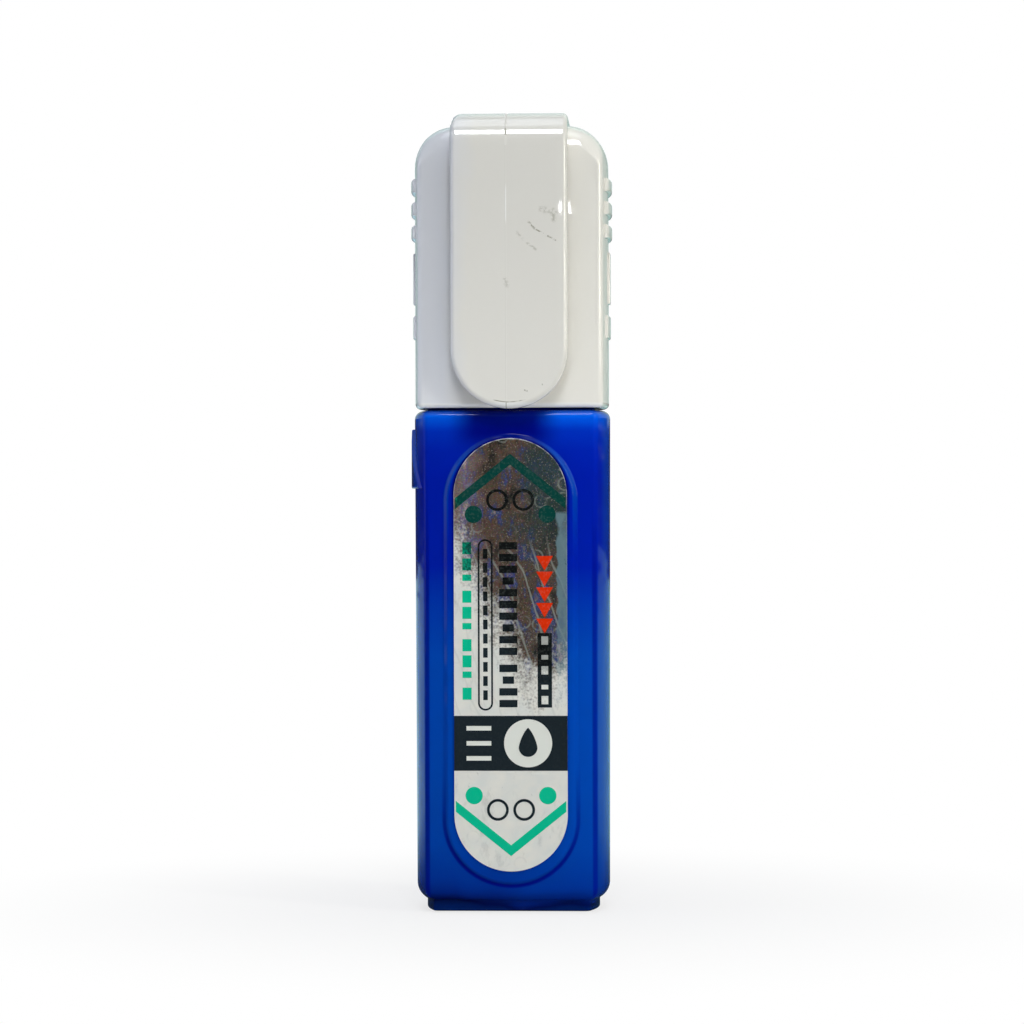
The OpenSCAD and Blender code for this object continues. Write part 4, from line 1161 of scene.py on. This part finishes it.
def makeWorld():
    # gloss: how bright mirrored rays find the room near the horizon, higher up and behind the pen
    room = {
        "left": (0.74, 0.84, 1.0, 1), "right": (1.0, 1.0, 0.95, 1), "strength": 0.15,
        "glossLow": 0.025, "glossHigh": 0.5, "glossBehind": 0.5, "behindTint": (0.74, 1.0, 0.95, 1),
    }
    world = bpy.data.worlds.new("softWorld")
    bpy.context.scene.world = world
    world.use_nodes = True
    tree = world.node_tree
    back = tree.nodes["Background"]
    toward = addNode(tree, "TexCoord", {}).outputs["Generated"]
    x, y, z = addNode(tree, "SeparateXYZ", {0: toward}).outputs
    side = mix(tree, fade(tree, x, -0.8, 0.8), room["left"], room["right"])
    feed(tree, back, {"Color": side, "Strength": room["strength"]})
    gloss = fade(tree, z, 0.2, 0.6, room["glossLow"], room["glossHigh"])
    # the room behind shows from the bottle's shoulder upwards
    behind = product(tree, fade(tree, y, 0.2, 0.7), fade(tree, z, 0.0285, 0.0315))
    gloss = calc(tree, "MULTIPLY_ADD", behind, room["glossBehind"], gloss)
    tint = mix(tree, behind, (1, 1, 1, 1), room["behindTint"])
    surface = showWhite(tree, back.outputs["Background"], 1.0, gloss, tint)
    feed(tree, tree.nodes["World Output"], {"Surface": surface})


# azimuth (0 is in front, positive to the right), elevation, distance, width, height, power, colour
lamps = {
    "topFront": (3.2, 43, 0.6, 0.15, 0.155, 1.25, (0.96, 0.98, 1)),
    "rightKey": (55, 20, 0.7, 0.08, 0.42, 1.85, (1, 0.98, 0.85)),
    "rightStrip": (30, 20, 0.7, 0.03, 0.5, 0.07, (1, 0.98, 0.88)),
    "leftFill": (-80, 12, 0.8, 0.4, 0.6, 0.95, (0.73, 0.79, 1)),
    "overhead": (0, 84, 0.8, 0.5, 0.5, 1.3, (0.86, 0.92, 1)),
    "backFill": (180, 30, 0.8, 0.5, 0.5, 0.7, (0.95, 0.97, 1)),
    "glint": (-0.84, 8.3, 0.61, 0.0005, 0.0032, 0.00022, (1, 1, 1)),
}


def addLamp(name, azimuth, elevation, distance, width, height, power, colour):
    a, e = math.radians(azimuth), math.radians(elevation)
    aim = Vector((0, 0, 0.06))
    away = Vector((math.sin(a) * math.cos(e), -math.cos(a) * math.cos(e), math.sin(e)))
    lamp = bpy.data.lights.new(name, "AREA")
    lamp.shape = "RECTANGLE"
    lamp.size, lamp.size_y = width, height
    lamp.energy, lamp.color = power, colour
    holder = bpy.data.objects.new(name, lamp)
    holder.location = aim + distance * away
    holder.rotation_euler = (aim - holder.location).to_track_quat("-Z", "Y").to_euler()
    holder.visible_glossy = name != "backFill"  # its mirror image would wash out the upper edges
    bpy.context.collection.objects.link(holder)


def makeCamera():
    # scale: millimetres at the pen for one of the 1024 pixels
    shot = {"azimuth": 2.6, "distance": 450.0, "middle": (-0.11, 0, 53.3), "scale": 0.1353,
            "roll": -0.17, "sensor": 36, "pixels": 1024}
    a = math.radians(shot["azimuth"])
    cameraData = bpy.data.cameras.new("camera")
    cameraData.sensor_width = shot["sensor"]
    cameraData.lens = shot["sensor"] * shot["distance"] / (shot["pixels"] * shot["scale"])
    cameraData.clip_start = 0.01
    camera = bpy.data.objects.new("camera", cameraData)
    away = Vector((math.sin(a), -math.cos(a), 0))
    camera.location = Vector(shot["middle"]) * mm + shot["distance"] * mm * away
    turn = Matrix.Rotation(a, 4, "Z") @ Matrix.Rotation(math.pi / 2, 4, "X") \
        @ Matrix.Rotation(math.radians(shot["roll"]), 4, "Z")
    camera.rotation_euler = turn.to_euler()
    bpy.context.collection.objects.link(camera)
    bpy.context.scene.camera = camera


makeCamera()
makeStage()
makeWorld()
for name, settings in lamps.items():
    addLamp(name, *settings)
bpy.context.scene.view_settings.view_transform = "Standard"
print("stage and camera ready")

buildBottle(makeBlue("blueGloss", bluePlastic["gloss"], panel=True))
buildPlug(makeBlue("plugBlue", bluePlastic["plugGloss"]))
print("bottle ready")
buildCap(makeWhite())
print("cap ready")
inks = {
    "teal": makeInk("tealInk", (0, 174, 134), (0, 58, 52)),
    "black": makeInk("blackInk", (26, 35, 41), (9, 13, 14)),
    "red": makeInk("redInk", (214, 44, 0), (200, 42, 0)),
    "light": makeInk("lightInk", (206, 208, 202), (150, 152, 148)),
}
buildLabel(makeFoil(), inks)
print("label ready")
buildNozzle(makePlastic("ivorySatin", (214, 211, 200), 0.3))
buildTip(makeSteel("turnedSteel", (214, 215, 216), 0.36))
buildNeedle(makeSteel("needleSteel", (200, 202, 206), 0.32))
buildSeal(makePlastic("greyRubber", (138, 143, 146), 0.6))
buildSpring(makeSteel("springSteel", (168, 170, 174), 0.25, rings=False))
print("valve ready")

kept = {
    "spring_seat": makePlastic("seatPlastic", (205, 202, 192), 0.35),
    "mixing_ball": makeSteel("ballSteel", (196, 198, 202), 0.12, rings=False),
}
for node, finish in kept.items():
    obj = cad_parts[node]
    for slot in obj.material_slots:
        slot.material = finish
    if not obj.material_slots:
        obj.data.materials.append(finish)
